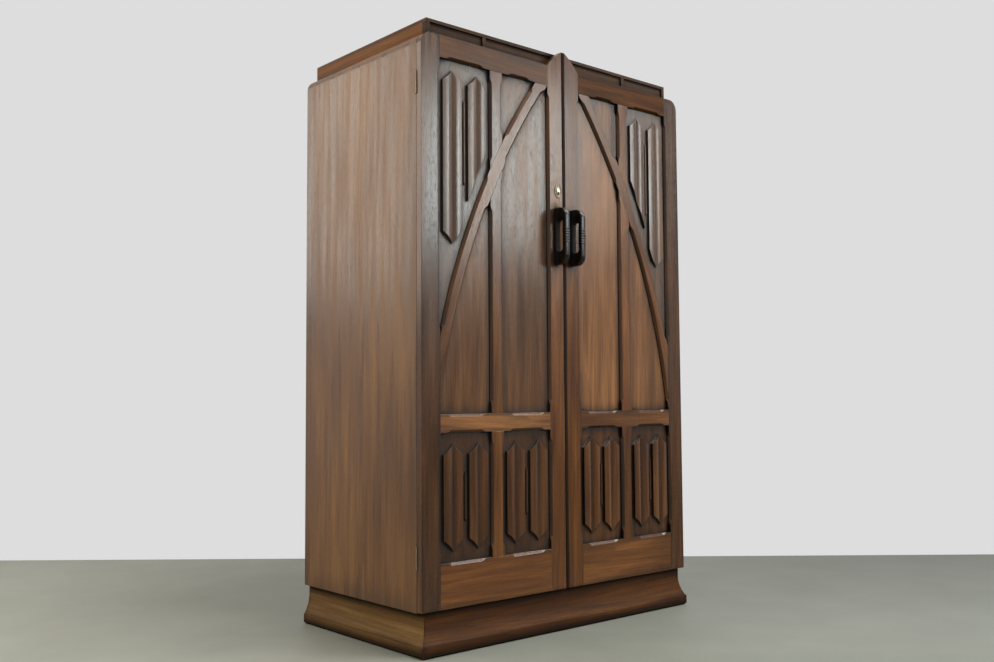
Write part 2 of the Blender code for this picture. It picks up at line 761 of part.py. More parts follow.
def rail(name, z0, z1, tenon_z, side, hinge):
    """A rail between the stiles, with a tenon at each end."""
    ends = [(U_INNER + GAP, -1), (U_OUTER - GAP, 1)]
    loops = []
    for u, away in ends:
        small = [place(side * u, d, z) for d, z in rectangle(GROOVE, GROOVE + PANEL, *tenon_z)]
        tip = [p + Vector((side * away * (TENON - GAP), 0, 0)) for p in small]
        big = [place(side * u, d, z) for d, z in rectangle(0, DOOR, z0, z1)]
        loops.append([tip, small, big])
    return piece(name, [loops[0] + loops[1][::-1]], OAK, hinge)


def muntin(name, z0, z1, side, hinge):
    """An upright between two rails, with a stub tenon at each end."""
    tenon = rectangle(MUNTIN_IN + TENON_SHOULDER, MUNTIN_OUT - TENON_SHOULDER, GROOVE, GROOVE + PANEL)
    whole = rectangle(MUNTIN_IN, MUNTIN_OUT, 0, DOOR)
    stations = [(z0 - STUB + GAP, tenon), (z0 + GAP, tenon), (z0 + GAP, whole)]
    stations += [(z1 - GAP, whole), (z1 - GAP, tenon), (z1 + STUB - GAP, tenon)]
    loops = [[place(side * u, d, z) for u, d in section] for z, section in stations]
    return piece(name, [loops], OAK, hinge)


def mortises(name, tenons, side):
    """Sinkings for tenons given as (u0, u1, z0, z1)."""
    lofts = [
        block(u0 - GAP, u1 + GAP, GROOVE - GAP, GROOVE + PANEL + GAP, z0 - GAP, z1 + GAP, side)
        for u0, u1, z0, z1 in tenons
    ]
    return helper("cut_" + name, lofts)


def peak():
    """Top of a meeting stile, from its outer edge up to the middle of the front."""
    points = []
    for i in range(ARC_STEPS + 1):
        u = U_INNER + (U_EDGE - U_INNER) * i / ARC_STEPS
        points.append((u, CASE_TOP + PEAK * (1 - (u / U_INNER) ** PEAK_SWELL)))
    return points


def brace_outline():
    """The curved band, ended against the frame it runs between."""
    u0, u1, z1 = U_INNER + GAP, U_OUTER - GAP, Z_TOP - GAP
    upper = brace_edge(BRACE_HIGH, edge_u(z1, BRACE_HIGH), u1)
    lower = brace_edge(BRACE_LOW, edge_u(Z_UPPER + GAP, BRACE_LOW) - GAP, u0)
    corner_z = max(z1, lower[-1][1] + GAP / 4)
    return upper + lower + [(u0, corner_z)]


def crossing_cutters(label, side):
    """Half the thickness of the brace and of the muntin, taken out where they cross."""
    z0 = edge_z(MUNTIN_OUT, BRACE_LOW) - BRACE
    z1 = edge_z(MUNTIN_IN, BRACE_HIGH) + BRACE
    behind = block(
        MUNTIN_IN - GAP, MUNTIN_OUT + GAP, HALVING - GAP / 2, DOOR + CUT, z0, z1, side
    )
    u0, u1 = MUNTIN_IN - CUT, MUNTIN_OUT + CUT
    band = brace_edge(BRACE_HIGH + GAP, u0, u1) + brace_edge(BRACE_LOW - GAP, u1, u0)
    before = slab(band, -CUT, HALVING + GAP / 2, side)
    return helper(f"cut_{label}_brace", [behind]), helper(f"cut_{label}_muntin", [before])


def door_frame(label, side, hinge):
    """Stiles, rails, muntins and brace, with the grooves, mortises and chamfers between them."""
    shoulder_top = [(U_OUTER, CASE_TOP)]
    outer_outline = [(U_OUTER, Z_DOOR), (WIDTH / 2, Z_DOOR)] + shoulder(WIDTH / 2, WIDTH / 2 - SHOULDER)
    outer = piece(
        f"{label}_outer_stile", [slab(outer_outline + shoulder_top, 0, DOOR, side)], OAK, hinge
    )
    meeting_outline = [(U_EDGE, Z_DOOR), (U_INNER, Z_DOOR)] + peak()
    meeting = piece(f"{label}_meeting_stile", [slab(meeting_outline, 0, DOOR, side)], OAK, hinge)
    tenon_zs = {
        "top_rail": (Z_TOP + TENON_SHOULDER, CASE_TOP - TENON_SHOULDER),
        "middle_rail": (Z_MIDDLE + TENON_SHOULDER, Z_UPPER - TENON_SHOULDER),
        "bottom_rail": (Z_DOOR + TENON_SHOULDER, Z_LOW - TENON_SHOULDER),
    }
    heights = {
        "top_rail": (Z_TOP, CASE_TOP),
        "middle_rail": (Z_MIDDLE, Z_UPPER),
        "bottom_rail": (Z_DOOR, Z_LOW),
    }
    frame = {"outer": outer, "meeting": meeting}
    for name, (z0, z1) in heights.items():
        frame[name] = rail(f"{label}_{name}", z0, z1, tenon_zs[name], side, hinge)
    frame["upper_muntin"] = muntin(f"{label}_upper_muntin", Z_UPPER, Z_TOP, side, hinge)
    frame["lower_muntin"] = muntin(f"{label}_lower_muntin", Z_LOW, Z_MIDDLE, side, hinge)
    frame["brace"] = piece(f"{label}_brace", [slab(brace_outline(), 0, DOOR, side)], OAK, hinge)
    inner_ends = [(U_INNER - TENON, U_INNER + CUT, *z) for z in tenon_zs.values()]
    outer_ends = [(U_OUTER - CUT, U_OUTER + TENON, *z) for z in tenon_zs.values()]
    cut(meeting, mortises(f"{label}_meeting_mortises", inner_ends, side))
    cut(outer, mortises(f"{label}_outer_mortises", outer_ends, side))
    u0, u1 = MUNTIN_IN + TENON_SHOULDER, MUNTIN_OUT - TENON_SHOULDER
    for name, ends in (
        ("top_rail", [(Z_TOP - CUT, Z_TOP + STUB)]),
        ("middle_rail", [(Z_UPPER - STUB, Z_UPPER + CUT), (Z_MIDDLE - CUT, Z_MIDDLE + STUB)]),
        ("bottom_rail", [(Z_LOW - STUB, Z_LOW + CUT)]),
    ):
        tenons = [(u0, u1, *z) for z in ends]
        cut(frame[name], mortises(f"{label}_{name}_mortises", tenons, side))
    brace_slot, muntin_slot = crossing_cutters(label, side)
    cut(frame["brace"], brace_slot)
    cut(frame["upper_muntin"], muntin_slot)
    return frame


NEIGHBOURS = {
    "upper_linenfold": ("outer", "top_rail", "upper_muntin", "brace"),
    "corner_panel": ("top_rail", "upper_muntin", "brace"),
    "inner_panel": ("meeting", "top_rail", "middle_rail", "upper_muntin", "brace"),
    "outer_panel": ("outer", "middle_rail", "upper_muntin", "brace"),
    "low_outer_linenfold": ("outer", "middle_rail", "bottom_rail", "lower_muntin"),
    "low_inner_linenfold": ("meeting", "middle_rail", "bottom_rail", "lower_muntin"),
}


def door_panels(label, side, frame, hinge):
    folds = {
        "upper_linenfold": upper_folds(side),
        "low_outer_linenfold": low_folds(MUNTIN_OUT, U_OUTER, side),
        "low_inner_linenfold": low_folds(U_INNER, MUNTIN_IN, side),
    }
    for name, edges in openings().items():
        cutter = opening_cutter(f"{label}_{name}", edges, side)
        for member in NEIGHBOURS[name]:
            cut(frame[member], cutter)
        outline = grow(outline_of(edges), TONGUE)
        flat = slab(outline, GROOVE, GROOVE + PANEL, side)
        panel = piece(f"{label}_{name}", [flat], OAK_PANEL, hinge)
        if name in folds:
            join(panel, helper(f"folds_{label}_{name}", folds[name]))


def meeting_edge(label, side, frame):
    """The chamfer down the whole meeting edge."""
    width = MEETING_CHAMFER
    z0, z1 = Z_DOOR - CUT, CASE_TOP + PEAK + CUT
    loops = []
    for z in (z0, z1):
        loops.append([
            place(side * (U_EDGE + width + CUT), -CUT, z),
            place(side * (U_EDGE - CUT), width + CUT, z),
            place(side * (U_EDGE - CUT), -CUT, z),
        ])
    cut(frame["meeting"], helper(f"cut_{label}_meeting_edge", [loops]))


def handle_outline():
    """The D seen from the side: (out from the door, height)."""
    half, corner = HANDLE / 2, HANDLE_CORNER
    out = HANDLE_OUT - GAP - RIB_OUT
    lower = arc((out - corner, -half + corner), corner, -math.pi / 2, 0, ARC_STEPS // 2)
    upper = arc((out - corner, half - corner), corner, 0, math.pi / 2, ARC_STEPS // 2)
    return [(0, -half)] + lower + upper + [(0, half)]


def slot_outline():
    """The finger gap, with rounded corners."""
    near, far = HANDLE_FOOT, HANDLE_OUT - GAP - RIB_OUT - HANDLE_GRIP
    half, r = HANDLE_SLOT / 2, HANDLE_SLOT_ROUND
    corners = [(far - r, r - half), (far - r, half - r), (near + r, half - r), (near + r, r - half)]
    points = []
    for i, centre in enumerate(corners):
        start = (i - 1) * math.pi / 2
        points += arc(centre, r, start, start + math.pi / 2, ARC_STEPS // 3)
    return points


def handle_rib(u, z, side):
    """A band round the grip, chamfered at its edges."""
    half = HANDLE_THICK / 2 + RIB_OUT
    far = HANDLE_OUT
    near = HANDLE_OUT - 2 * RIB_OUT - HANDLE_GRIP
    loops = []
    for lift, shrink in ((-1, RIB_SINK), (-RIB_FLAT, 0), (RIB_FLAT, 0), (1, RIB_SINK)):
        w, a, b, ease = half - shrink, near + shrink, far - shrink, HANDLE_EASE
        section = [(-w, a + ease), (-w + ease, a), (w - ease, a), (w, a + ease)]
        section += [(w, b - ease), (w - ease, b), (-w + ease, b), (-w, b - ease)]
        loops.append([place(side * u + x, -out, z + lift * RIB / 2) for x, out in section])
    return loops


def door_handle(name, side, hinge):
    loops = []
    slot = []
    for x in (-1, 1):
        at = side * U_HANDLE + x * HANDLE_THICK / 2
        beyond = at + x * CUT
        loops.append([place(at, -GAP - out, HANDLE_Z + z) for out, z in handle_outline()])
        slot.append([place(beyond, -GAP - out, HANDLE_Z + z) for out, z in slot_outline()])
    handle = piece(name, [loops], EBONISED, hinge)
    cut(handle, helper("cut_" + name, [slot]))
    ease = handle.modifiers.new("eased edges", "BEVEL")
    ease.width = HANDLE_EASE
    ease.segments = 2
    ease.limit_method = "ANGLE"
    ease.angle_limit = math.radians(40)
    heights = [HANDLE_Z + (i - (RIBS - 1) / 2) * RIB_PITCH for i in range(RIBS)]
    join(handle, helper("ribs_" + name, [handle_rib(U_HANDLE, z, side) for z in heights]))


def swinging_door(label, side):
    hinge = pivot(f"{label}_door_hinge", place(side * AXIS, JOINT, 0))
    frame = door_frame(label, side, hinge)
    door_panels(label, side, frame, hinge)
    meeting_edge(label, side, frame)
    door_handle(f"{label}_handle", side, hinge)
    return hinge, frame


# Lock and bolt

def keyhole(near, far):
    """A round hole over a slot, cut through from one depth to another."""
    slot = math.asin(KEY_SLOT / 2 / KEYHOLE)
    ring = arc((0, 0), KEYHOLE, slot - math.pi / 2, 1.5 * math.pi - slot, ROUND)
    outline = ring + [(-KEY_SLOT / 2, -KEY_DROP), (KEY_SLOT / 2, -KEY_DROP)]
    return slab([(x - KEY_IN, LOCK_Z + z) for x, z in outline], near, far)


def lock(frame, hinge):
    """Mortise lock in the left door's meeting edge, with its sliding bolt."""
    half = LOCK_HEIGHT / 2
    near, far = LOCK_FRONT, LOCK_FRONT + LOCK_THICK
    z0, z1 = LOCK_Z - half, LOCK_Z + half
    deep = U_EDGE + LOCK_DEEP
    case = piece("lock_case", [block(U_EDGE, deep, near, far, z0, z1, -1)], STEEL, hinge)
    bed = block(U_EDGE - CUT, deep + GAP, near - GAP, far + GAP, z0 - GAP, z1 + GAP, -1)
    cut(frame["meeting"], helper("cut_lock_bed", [bed]))
    start = U_EDGE + LOCK_EDGE
    end = start + LOCK_BOLT_LENGTH
    y, t, h = LOCK_MIDDLE, LOCK_BOLT_THICK / 2, LOCK_BOLT_HEIGHT / 2
    channel = block(
        U_EDGE - CUT, end + GAP, y - t - GAP, y + t + GAP, LOCK_Z - h - GAP, LOCK_Z + h + GAP, -1
    )
    cut(case, helper("cut_lock_channel", [channel]))
    slide = pivot("lock_bolt_slide", place(-start, y, LOCK_Z))
    slide.parent = hinge
    slide.matrix_parent_inverse = hinge.matrix_basis.inverted()
    bolt = block(start, end, y - t, y + t, LOCK_Z - h, LOCK_Z + h, -1)
    piece("lock_bolt", [bolt], BRASS, slide)
    oval = arc((-KEY_IN, LOCK_Z), 1, 0, 2 * math.pi, 2 * ROUND)[:-1]
    shape = [
        (-KEY_IN + (x + KEY_IN) * PLATE_WIDTH / 2, LOCK_Z + (z - LOCK_Z) * PLATE_HEIGHT / 2)
        for x, z in oval
    ]
    plate = piece("keyhole_escutcheon", [slab(shape, -GAP - PLATE, -GAP)], BRASS, hinge)
    through = helper("cut_keyhole", [keyhole(-PLATE - CUT, LOCK_FRONT + CUT / 2)])
    cut(plate, through)
    cut(frame["meeting"], through)


def lock_keep(frame):
    """The right door's sinking for the thrown lock bolt."""
    y, t, h = LOCK_MIDDLE, LOCK_BOLT_THICK / 2 + 2 * GAP, LOCK_BOLT_HEIGHT / 2 + 2 * GAP
    sinking = block(U_EDGE - CUT, U_EDGE + LOCK_THROW, y - t, y + t, LOCK_Z - h, LOCK_Z + h)
    cut(frame["meeting"], helper("cut_lock_keep", [sinking]))


def top_bolt(hinge):
    """Sliding bolt on the back of the right door, which shoots up into the top board."""
    near = DOOR + GAP
    rod_top = TOP_UNDER - BOLT_BELOW
    z1 = rod_top - BOLT_THROW
    z0 = z1 - BOLT_PLATE_HEIGHT
    half = BOLT_PLATE_WIDTH / 2
    u0, u1 = U_HANDLE - half, U_HANDLE + half
    plate = piece("bolt_plate", [block(u0, u1, near, near + BOLT_PLATE, z0, z1)], STEEL, hinge)
    wide = 2 * BOLT_RADIUS
    staples = [
        block(U_HANDLE - wide, U_HANDLE + wide, near + GAP, BOLT_DEPTH + wide, z, z + BOLT_STAPLE)
        for z in (z0 + BOLT_STAPLE / 2, z1 - 1.5 * BOLT_STAPLE)
    ]
    join(plate, helper("staples_bolt", staples))
    low, high = place(U_HANDLE, BOLT_DEPTH, z0 - CUT), place(U_HANDLE, BOLT_DEPTH, z1 + CUT)
    cut(plate, helper("cut_bolt_guides", [cylinder(low, high, BOLT_RADIUS + GAP, "z")]))
    slide = pivot("top_bolt_slide", place(U_HANDLE, BOLT_DEPTH, rod_top))
    slide.parent = hinge
    slide.matrix_parent_inverse = hinge.matrix_basis.inverted()
    foot, tip = place(U_HANDLE, BOLT_DEPTH, z0), place(U_HANDLE, BOLT_DEPTH, rod_top)
    rod = piece("top_bolt", [cylinder(foot, tip, BOLT_RADIUS, "z")], STEEL, slide)
    middle = (z0 + z1) / 2 - BOLT_THROW / 2
    root = place(U_HANDLE, BOLT_DEPTH, middle)
    knob = cylinder(root, root + Vector((0, BOLT_KNOB_OUT, 0)), BOLT_KNOB, "y")
    join(rod, helper("knob_bolt", [knob]))


def build():
    clear_scene()
    case = pivot("case_origin", (0, 0, 0))
    case_boards(case)
    shelf_and_rail(case)
    frieze(case)
    plinth(case)
    for label, side in (("left", -1), ("right", 1)):
        hinge, frame = swinging_door(label, side)
        side_bed, door_bed, cove = leaf_sinkings(side, label)
        side_panel(f"side_{label}", side, case, housing_cutters(side, label) + [side_bed, cove])
        cut(frame["outer"], door_bed, cove)
        for height, z in hinge_heights().items():
            frame_leaf(f"{label}_case_hinge_{height}", side, z, case)
            door_leaf(f"{label}_door_hinge_leaf_{height}", side, z, hinge)
        if label == "left":
            lock(frame, hinge)
        else:
            lock_keep(frame)
            top_bolt(hinge)


build()
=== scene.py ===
# %% [markdown]
# # A linenfold wardrobe, from frame to finish
# The cabinet maker's drawing is done: every board, hinge and bolt comes in as a solid
# that already sits where it belongs. This lesson gives those solids their wood and metal,
# adds the small fixings that a drawing leaves out, and sets up a studio round them.

# %% Load the frame
import math

import bpy
from mathutils import Matrix, Vector


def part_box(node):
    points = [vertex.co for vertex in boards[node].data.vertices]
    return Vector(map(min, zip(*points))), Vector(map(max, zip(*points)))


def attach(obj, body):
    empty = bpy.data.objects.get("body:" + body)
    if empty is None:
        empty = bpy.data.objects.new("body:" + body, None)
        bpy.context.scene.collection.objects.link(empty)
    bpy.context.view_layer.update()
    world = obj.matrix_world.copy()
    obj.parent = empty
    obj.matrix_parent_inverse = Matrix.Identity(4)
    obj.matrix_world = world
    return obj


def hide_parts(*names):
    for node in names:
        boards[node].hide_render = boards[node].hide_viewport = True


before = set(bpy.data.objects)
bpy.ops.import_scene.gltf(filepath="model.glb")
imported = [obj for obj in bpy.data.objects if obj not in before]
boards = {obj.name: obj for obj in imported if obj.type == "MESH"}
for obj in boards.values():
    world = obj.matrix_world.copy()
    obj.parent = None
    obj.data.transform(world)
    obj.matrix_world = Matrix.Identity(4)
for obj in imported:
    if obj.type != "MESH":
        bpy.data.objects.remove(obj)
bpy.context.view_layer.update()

# %% [markdown]
# ## The camera
# The picture was taken from a low tripod, turned about 41 degrees to the doors, so the near
# corner is tall and both faces run away from it. A camera's matrix holds three directions as
# its columns: its right, its up and its back. Writing those down is steadier than
# turning a camera by hand until the corners agree.

# %% Place the camera
EYE = Vector((-2.2602, -2.5634, 0.7152))
YAW, PITCH, ROLL = (math.radians(angle) for angle in (40.942, 3.626, -0.353))
PICTURE_WIDTH = 994
FOCAL_PIXELS = 1025.93
SENSOR = 36.0

ahead = Vector((math.sin(YAW), math.cos(YAW), 0))
level = Vector((math.cos(YAW), -math.sin(YAW), 0))
forward = math.cos(PITCH) * ahead + Vector((0, 0, math.sin(PITCH)))
upright = level.cross(forward)
right = math.cos(ROLL) * level + math.sin(ROLL) * upright
up = math.cos(ROLL) * upright - math.sin(ROLL) * level
lens = bpy.data.cameras.new("camera")
lens.sensor_width = SENSOR
lens.lens = SENSOR * FOCAL_PIXELS / PICTURE_WIDTH
camera = bpy.data.objects.new("camera", lens)
camera.matrix_world = Matrix.Translation(EYE) @ Matrix((right, up, -forward)).transposed().to_4x4()
bpy.context.scene.collection.objects.link(camera)
bpy.context.scene.camera = camera
bpy.context.scene.view_settings.view_transform = "Standard"
print("lens of", round(lens.lens, 1), "mm")

# %% [markdown]
# ## Two small helpers for materials
# Paint charts and pickers give colours as sRGB hex, while a renderer adds light in
# linear numbers, so one function turns the first into the second. A material is a tree of
# nodes, and one more function adds a node: names with a capital are its sockets, names
# without are its settings, and links come from the outputs of nodes made before it.

# %% Colour and node helpers
def linear(hex_colour):
    """A colour in linear light, from sRGB hex."""
    parts = [int(hex_colour[i:i + 2], 16) / 255 for i in (1, 3, 5)]
    return [p / 12.92 if p <= 0.04045 else ((p + 0.055) / 1.055) ** 2.4 for p in parts] + [1.0]


def add(tree, kind, values=None, links=None):
    """A new node in a tree, with its settings and links."""
    node = tree.nodes.new("ShaderNode" + kind)
    for key, value in (values or {}).items():
        if isinstance(key, int) or key[0].isupper():
            node.inputs[key].default_value = value
        else:
            setattr(node, key, value)
    for key, source in (links or {}).items():
        tree.links.new(source, node.inputs[key])
    return node


def new_material(name):
    """An empty material and its tree."""
    material = bpy.data.materials.new(name)
    material.use_nodes = True
    material.node_tree.nodes.clear()
    return material, material.node_tree


print("a mid brown in linear light:", [round(c, 3) for c in linear("#63412a")[:3]])

# %% [markdown]
# ## Oak: the patterns of the grain
# The wardrobe is oak under a dark brown stain and a rubbed polish. What shows is soft: clouds
# and streaks along the grain, where the sanded face took the stain unevenly, patches that lean
# to red or to olive, and faint growth rings and pores. A picture of one board would repeat from
# panel to panel, so noises draw the grain, stretched along it. A mapping node of the Texture
# kind divides by its scale, so each pattern is sized in metres, across the grain and along it.

# %% Patterns of a board
ONE_WAVE = 0.3142          # makes a wave as long as one unit of its mapping
PATTERNS = {               # kind of node, size across and along the grain, settings
    # A saw-edged wave gives rings that darken slowly and end sharply, as late wood does.
    "rings": ("TexWave", (0.0052, 0.0052, 0.085), {
        "wave_type": "RINGS", "rings_direction": "Z", "wave_profile": "SAW", "Scale": ONE_WAVE,
        "Distortion": 6.5, "Detail": 3.0, "Detail Scale": 0.35, "Detail Roughness": 0.6,
    }),
    "flecks": ("TexNoise", (0.0055, 0.0055, 0.14), {"Scale": 1.0, "Detail": 4.0, "Roughness": 0.55}),
    "clouds": ("TexNoise", (0.026, 0.026, 0.42), {"Scale": 1.0, "Detail": 3.0, "Roughness": 0.5}),
    "patches": ("TexNoise", (0.16, 0.16, 0.60), {"Scale": 1.0, "Detail": 2.0}),
    # Pores are drawn wider than real ones, which are too fine to show here.
    "pores": ("TexNoise", (0.0011, 0.0011, 0.016), {"Scale": 1.0, "Detail": 1.0}),
}
PORES_FROM, PORES_TO = 0.60, 0.70


def grown_patterns(tree, place, heart, turn):
    """The patterns of a board whose tree has its heart there, its grain turned from upright."""
    wood = {}
    for pattern, (kind, size, settings) in PATTERNS.items():
        spot = add(tree, "Mapping", {
            "vector_type": "TEXTURE", "Location": heart, "Rotation": turn, "Scale": size,
        }, {"Vector": place}).outputs["Vector"]
        wood[pattern] = add(tree, kind, settings, {"Vector": spot}).outputs["Fac"]
    wood["pores"] = add(tree, "MapRange", {"From Min": PORES_FROM, "From Max": PORES_TO},
                        {"Value": wood["pores"]}).outputs["Result"]
    return wood


print("patterns in the oak:", ", ".join(PATTERNS))

# %% [markdown]
# ## Oak: the stain
# Stain sinks in deeper where the wood is soft. The grain is a sum of clouds, flecks and a little
# of the rings, and a colour ramp turns that sum into the stain's dark, body and light tone. A
# second ramp gives the patches and multiplies it. One ramp with many stops could do for both,
# but then a patch couldn't lie across the grain.

# %% Colour of the stain
RING_SHARE, FLECK_SHARE = 0.14, 0.60        # beside one share of clouds
GRAIN_MIDDLE, GRAIN_REACH = 0.87, 0.33      # where that sum lies, and how far it swings
RED_PATCH, OLIVE_PATCH = (0.74, 0.68, 0.60, 1), (1.22, 1.25, 1.26, 1)
PATCH_STOPS = (0.32, 0.68)


def stain_colour(tree, wood, stains, figure):
    """The stain on a board's patterns; figure says how strongly they show."""
    ringed = add(tree, "Math", {"operation": "MULTIPLY_ADD", 1: RING_SHARE},
                 {0: wood["rings"], 2: wood["clouds"]}).outputs[0]
    grain = add(tree, "Math", {"operation": "MULTIPLY_ADD", 1: FLECK_SHARE},
                {0: wood["flecks"], 2: ringed}).outputs[0]
    reach = GRAIN_REACH / figure
    spread = add(tree, "MapRange", {"From Min": GRAIN_MIDDLE - reach, "From Max": GRAIN_MIDDLE + reach},
                 {"Value": grain}).outputs["Result"]
    dark, body, light = stains
    stain = add(tree, "ValToRGB", {}, {"Fac": spread})
    for stop, colour in zip(stain.color_ramp.elements, (dark, light)):
        stop.color = colour
    stain.color_ramp.elements.new(0.5).color = body
    tint = add(tree, "ValToRGB", {}, {"Fac": wood["patches"]})
    for stop, at, colour in zip(tint.color_ramp.elements, PATCH_STOPS, (RED_PATCH, OLIVE_PATCH)):
        stop.position = at
        stop.color = colour
    return add(tree, "VectorMath", {"operation": "MULTIPLY"},
               {0: stain.outputs["Color"], 1: tint.outputs["Color"]}).outputs["Vector"]


print("the grain runs from", GRAIN_MIDDLE - GRAIN_REACH, "to", GRAIN_MIDDLE + GRAIN_REACH)

# %% [markdown]
# ## Oak: borders, folds, painted side light and planks
# The maker rubbed the stain deeper along the borders, cloths have rubbed it off the raised folds,
# faces that look sideways get painted light, and planks side by side come from different trees.
# Painting all this on would have to be done for each board. Here it is worked out from a point's
# place, or from the way its face looks, and ends in numbers that multiply the stain. Snapping
# the place across the back to the width of a plank gives every plank a number of its own, and
# white noise turns that number into a shift of the wood and a tone.

# %% Borders and folds
RIM_SHARE, RIM_MOST = 0.22, 0.07        # how far the darker border reaches into a board
RIM_FULL, RIM_GONE = 0.4, 1.5           # in such reaches
PANEL_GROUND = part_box("left_inner_panel")[0].y
FOLD_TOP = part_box("left_upper_linenfold")[0].y
GROUND_TONE, FOLD_TONE = 0.92, 1.12


def border_tone(tree, place, box, clouds, rim):
    """From how far a point lies inside the board's box, along its two wide directions."""
    low, high = box
    half = (high - low) / 2
    _, narrow, long = sorted(range(3), key=lambda axis: half[axis])
    reach = min(RIM_SHARE * 2 * half[narrow], RIM_MOST)
    off = add(tree, "VectorMath", {"operation": "SUBTRACT", 1: (low + high) / 2},
              {0: place}).outputs["Vector"]
    away = add(tree, "VectorMath", {"operation": "ABSOLUTE"}, {0: off}).outputs["Vector"]
    inside = add(tree, "VectorMath", {"operation": "SUBTRACT", 0: half}, {1: away}).outputs["Vector"]
    axes = add(tree, "SeparateXYZ", {}, {"Vector": inside}).outputs
    nearest = add(tree, "Math", {"operation": "MINIMUM"}, {0: axes[narrow], 1: axes[long]}).outputs[0]
    uneven = add(tree, "Math", {"operation": "MULTIPLY_ADD", 1: reach},
                 {0: clouds, 2: nearest}).outputs[0]
    return add(tree, "MapRange", {
        "interpolation_type": "SMOOTHSTEP", "From Min": RIM_FULL * reach, "From Max": RIM_GONE * reach,
        "To Min": 1 - rim, "To Max": 1.0,
    }, {"Value": uneven}).outputs["Result"]


def fold_tone(tree, place):
    """Lighter on the raised folds than on the ground between them."""
    depth = add(tree, "SeparateXYZ", {}, {"Vector": place}).outputs["Y"]
    return add(tree, "MapRange", {
        "From Min": PANEL_GROUND, "From Max": FOLD_TOP, "To Min": GROUND_TONE, "To Max": FOLD_TONE,
    }, {"Value": depth}).outputs["Result"]


print("the folds stand out", round((PANEL_GROUND - FOLD_TOP) * 1000, 1), "mm")

# %% Painted side light and planks
FLANK_FROM, FLANK_TO = 0.6, 0.8         # how much of the normal points sideways
PLANK_SHIFT = (0.4, 0.4, 3.0)
PLANK_DARK, PLANK_LIGHT = 0.80, 1.14


def painted_side_light(tree, side_light):
    """Painted light: faces that look sideways are made lighter."""
    facing = add(tree, "NewGeometry").outputs["True Normal"]
    ways = add(tree, "SeparateXYZ", {}, {"Vector": facing}).outputs
    aside = add(tree, "Math", {"operation": "ABSOLUTE"}, {0: ways["X"]}).outputs[0]
    return add(tree, "MapRange", {
        "From Min": FLANK_FROM, "From Max": FLANK_TO, "To Min": 1.0, "To Max": side_light,
    }, {"Value": aside}).outputs["Result"]


def plank_chance(tree, place, start, width):
    """A place in another tree for every plank, and the plank's tone."""
    across = add(tree, "SeparateXYZ", {}, {"Vector": place}).outputs["X"]
    off = add(tree, "Math", {"operation": "SUBTRACT", 1: start}, {0: across}).outputs[0]
    step = add(tree, "Math", {"operation": "SNAP", 1: width}, {0: off}).outputs[0]
    chance = add(tree, "TexWhiteNoise", {"noise_dimensions": "1D"}, {"W": step}).outputs
    shifted = add(tree, "VectorMath", {"operation": "MULTIPLY_ADD", 1: PLANK_SHIFT},
                  {0: chance["Color"], 2: place}).outputs["Vector"]
    tone = add(tree, "MapRange", {"To Min": PLANK_DARK, "To Max": PLANK_LIGHT},
               {"Value": chance["Value"]}).outputs["Result"]
    return shifted, tone


print("tones of the planks from", PLANK_DARK, "to", PLANK_LIGHT)

# %% [markdown]
# ## Painted shade in corners, and where hands rub
# Where the air is shut in, the oak is darkened, which is painted shade and partly thick stain, and
# dust dulls the polish there; polish wears off what stands out. An Ambient Occlusion node finds the
# corners. A Bevel node rounds the normal near an edge, so an edge is where that normal and the flat
# face's disagree. Both look at the shape itself, so nothing has to be drawn for each mesh, and the
# rounded normal also takes the sharpness off.

# %% Corners and edges
EDGE_FROM, EDGE_TO = 0.985, 0.80        # how far the two normals agree


def shut_in(tree, reach, air_open, air_shut, most, samples=6):
    """How shut in a point is within a reach: painted shade and dust on the oak, tarnish on metal, dullness
    on the handles.
    """
    air = add(tree, "AmbientOcclusion", {"samples": samples, "Distance": reach}).outputs["AO"]
    return add(tree, "MapRange", {"From Min": air_open, "From Max": air_shut, "To Max": most},
               {"Value": air}).outputs["Result"]


def worn_edges(tree, reach, most):
    """Normals that are eased near the edges, and how worn a point is."""
    eased = add(tree, "Bevel", {"samples": 4, "Radius": reach}).outputs["Normal"]
    facing = add(tree, "NewGeometry").outputs["True Normal"]
    agree = add(tree, "VectorMath", {"operation": "DOT_PRODUCT"}, {0: eased, 1: facing}).outputs["Value"]
    worn = add(tree, "MapRange", {"From Min": EDGE_FROM, "From Max": EDGE_TO, "To Max": most},
               {"Value": agree}).outputs["Result"]
    return eased, worn


print("edges wear from", round(math.degrees(math.acos(EDGE_FROM))), "degrees on")

# %% [markdown]
# ## Oak: the finished board
# Now the parts come together. The tones multiply the stain one by one; pores, painted shade in the
# corners (partly thick stain) and worn edges lie over it as three thin coats, in that order. The
# polish is duller in some clouds and in the pores, and dusty in the corners, so the shine
# breaks up as it does on an old piece.

# %% The oak material
PORE_COLOUR, PORE_SHARE, PORE_DULL = "#1a0f08", 0.34, 0.14
# Painted shade in the corners, partly thick stain, is mixed in with this colour; the same reach makes the
# corners dusty and dull.
CORNER_SHADE_COLOUR, SHADE_AND_DUST_REACH = "#110a05", 0.030
SHADE_AND_DUST_NONE, SHADE_AND_DUST_FULL = 0.97, 0.74
EDGE_REACH = 0.0020
RUB_FROM, RUB_TO = 0.46, 0.60           # clouds where the edges lost their polish
DULL_FROM, DULL_TO = 0.35, 0.65         # clouds between the smooth and the dull polish
RELIEF, RELIEF_DEEP = 0.20, 0.0004
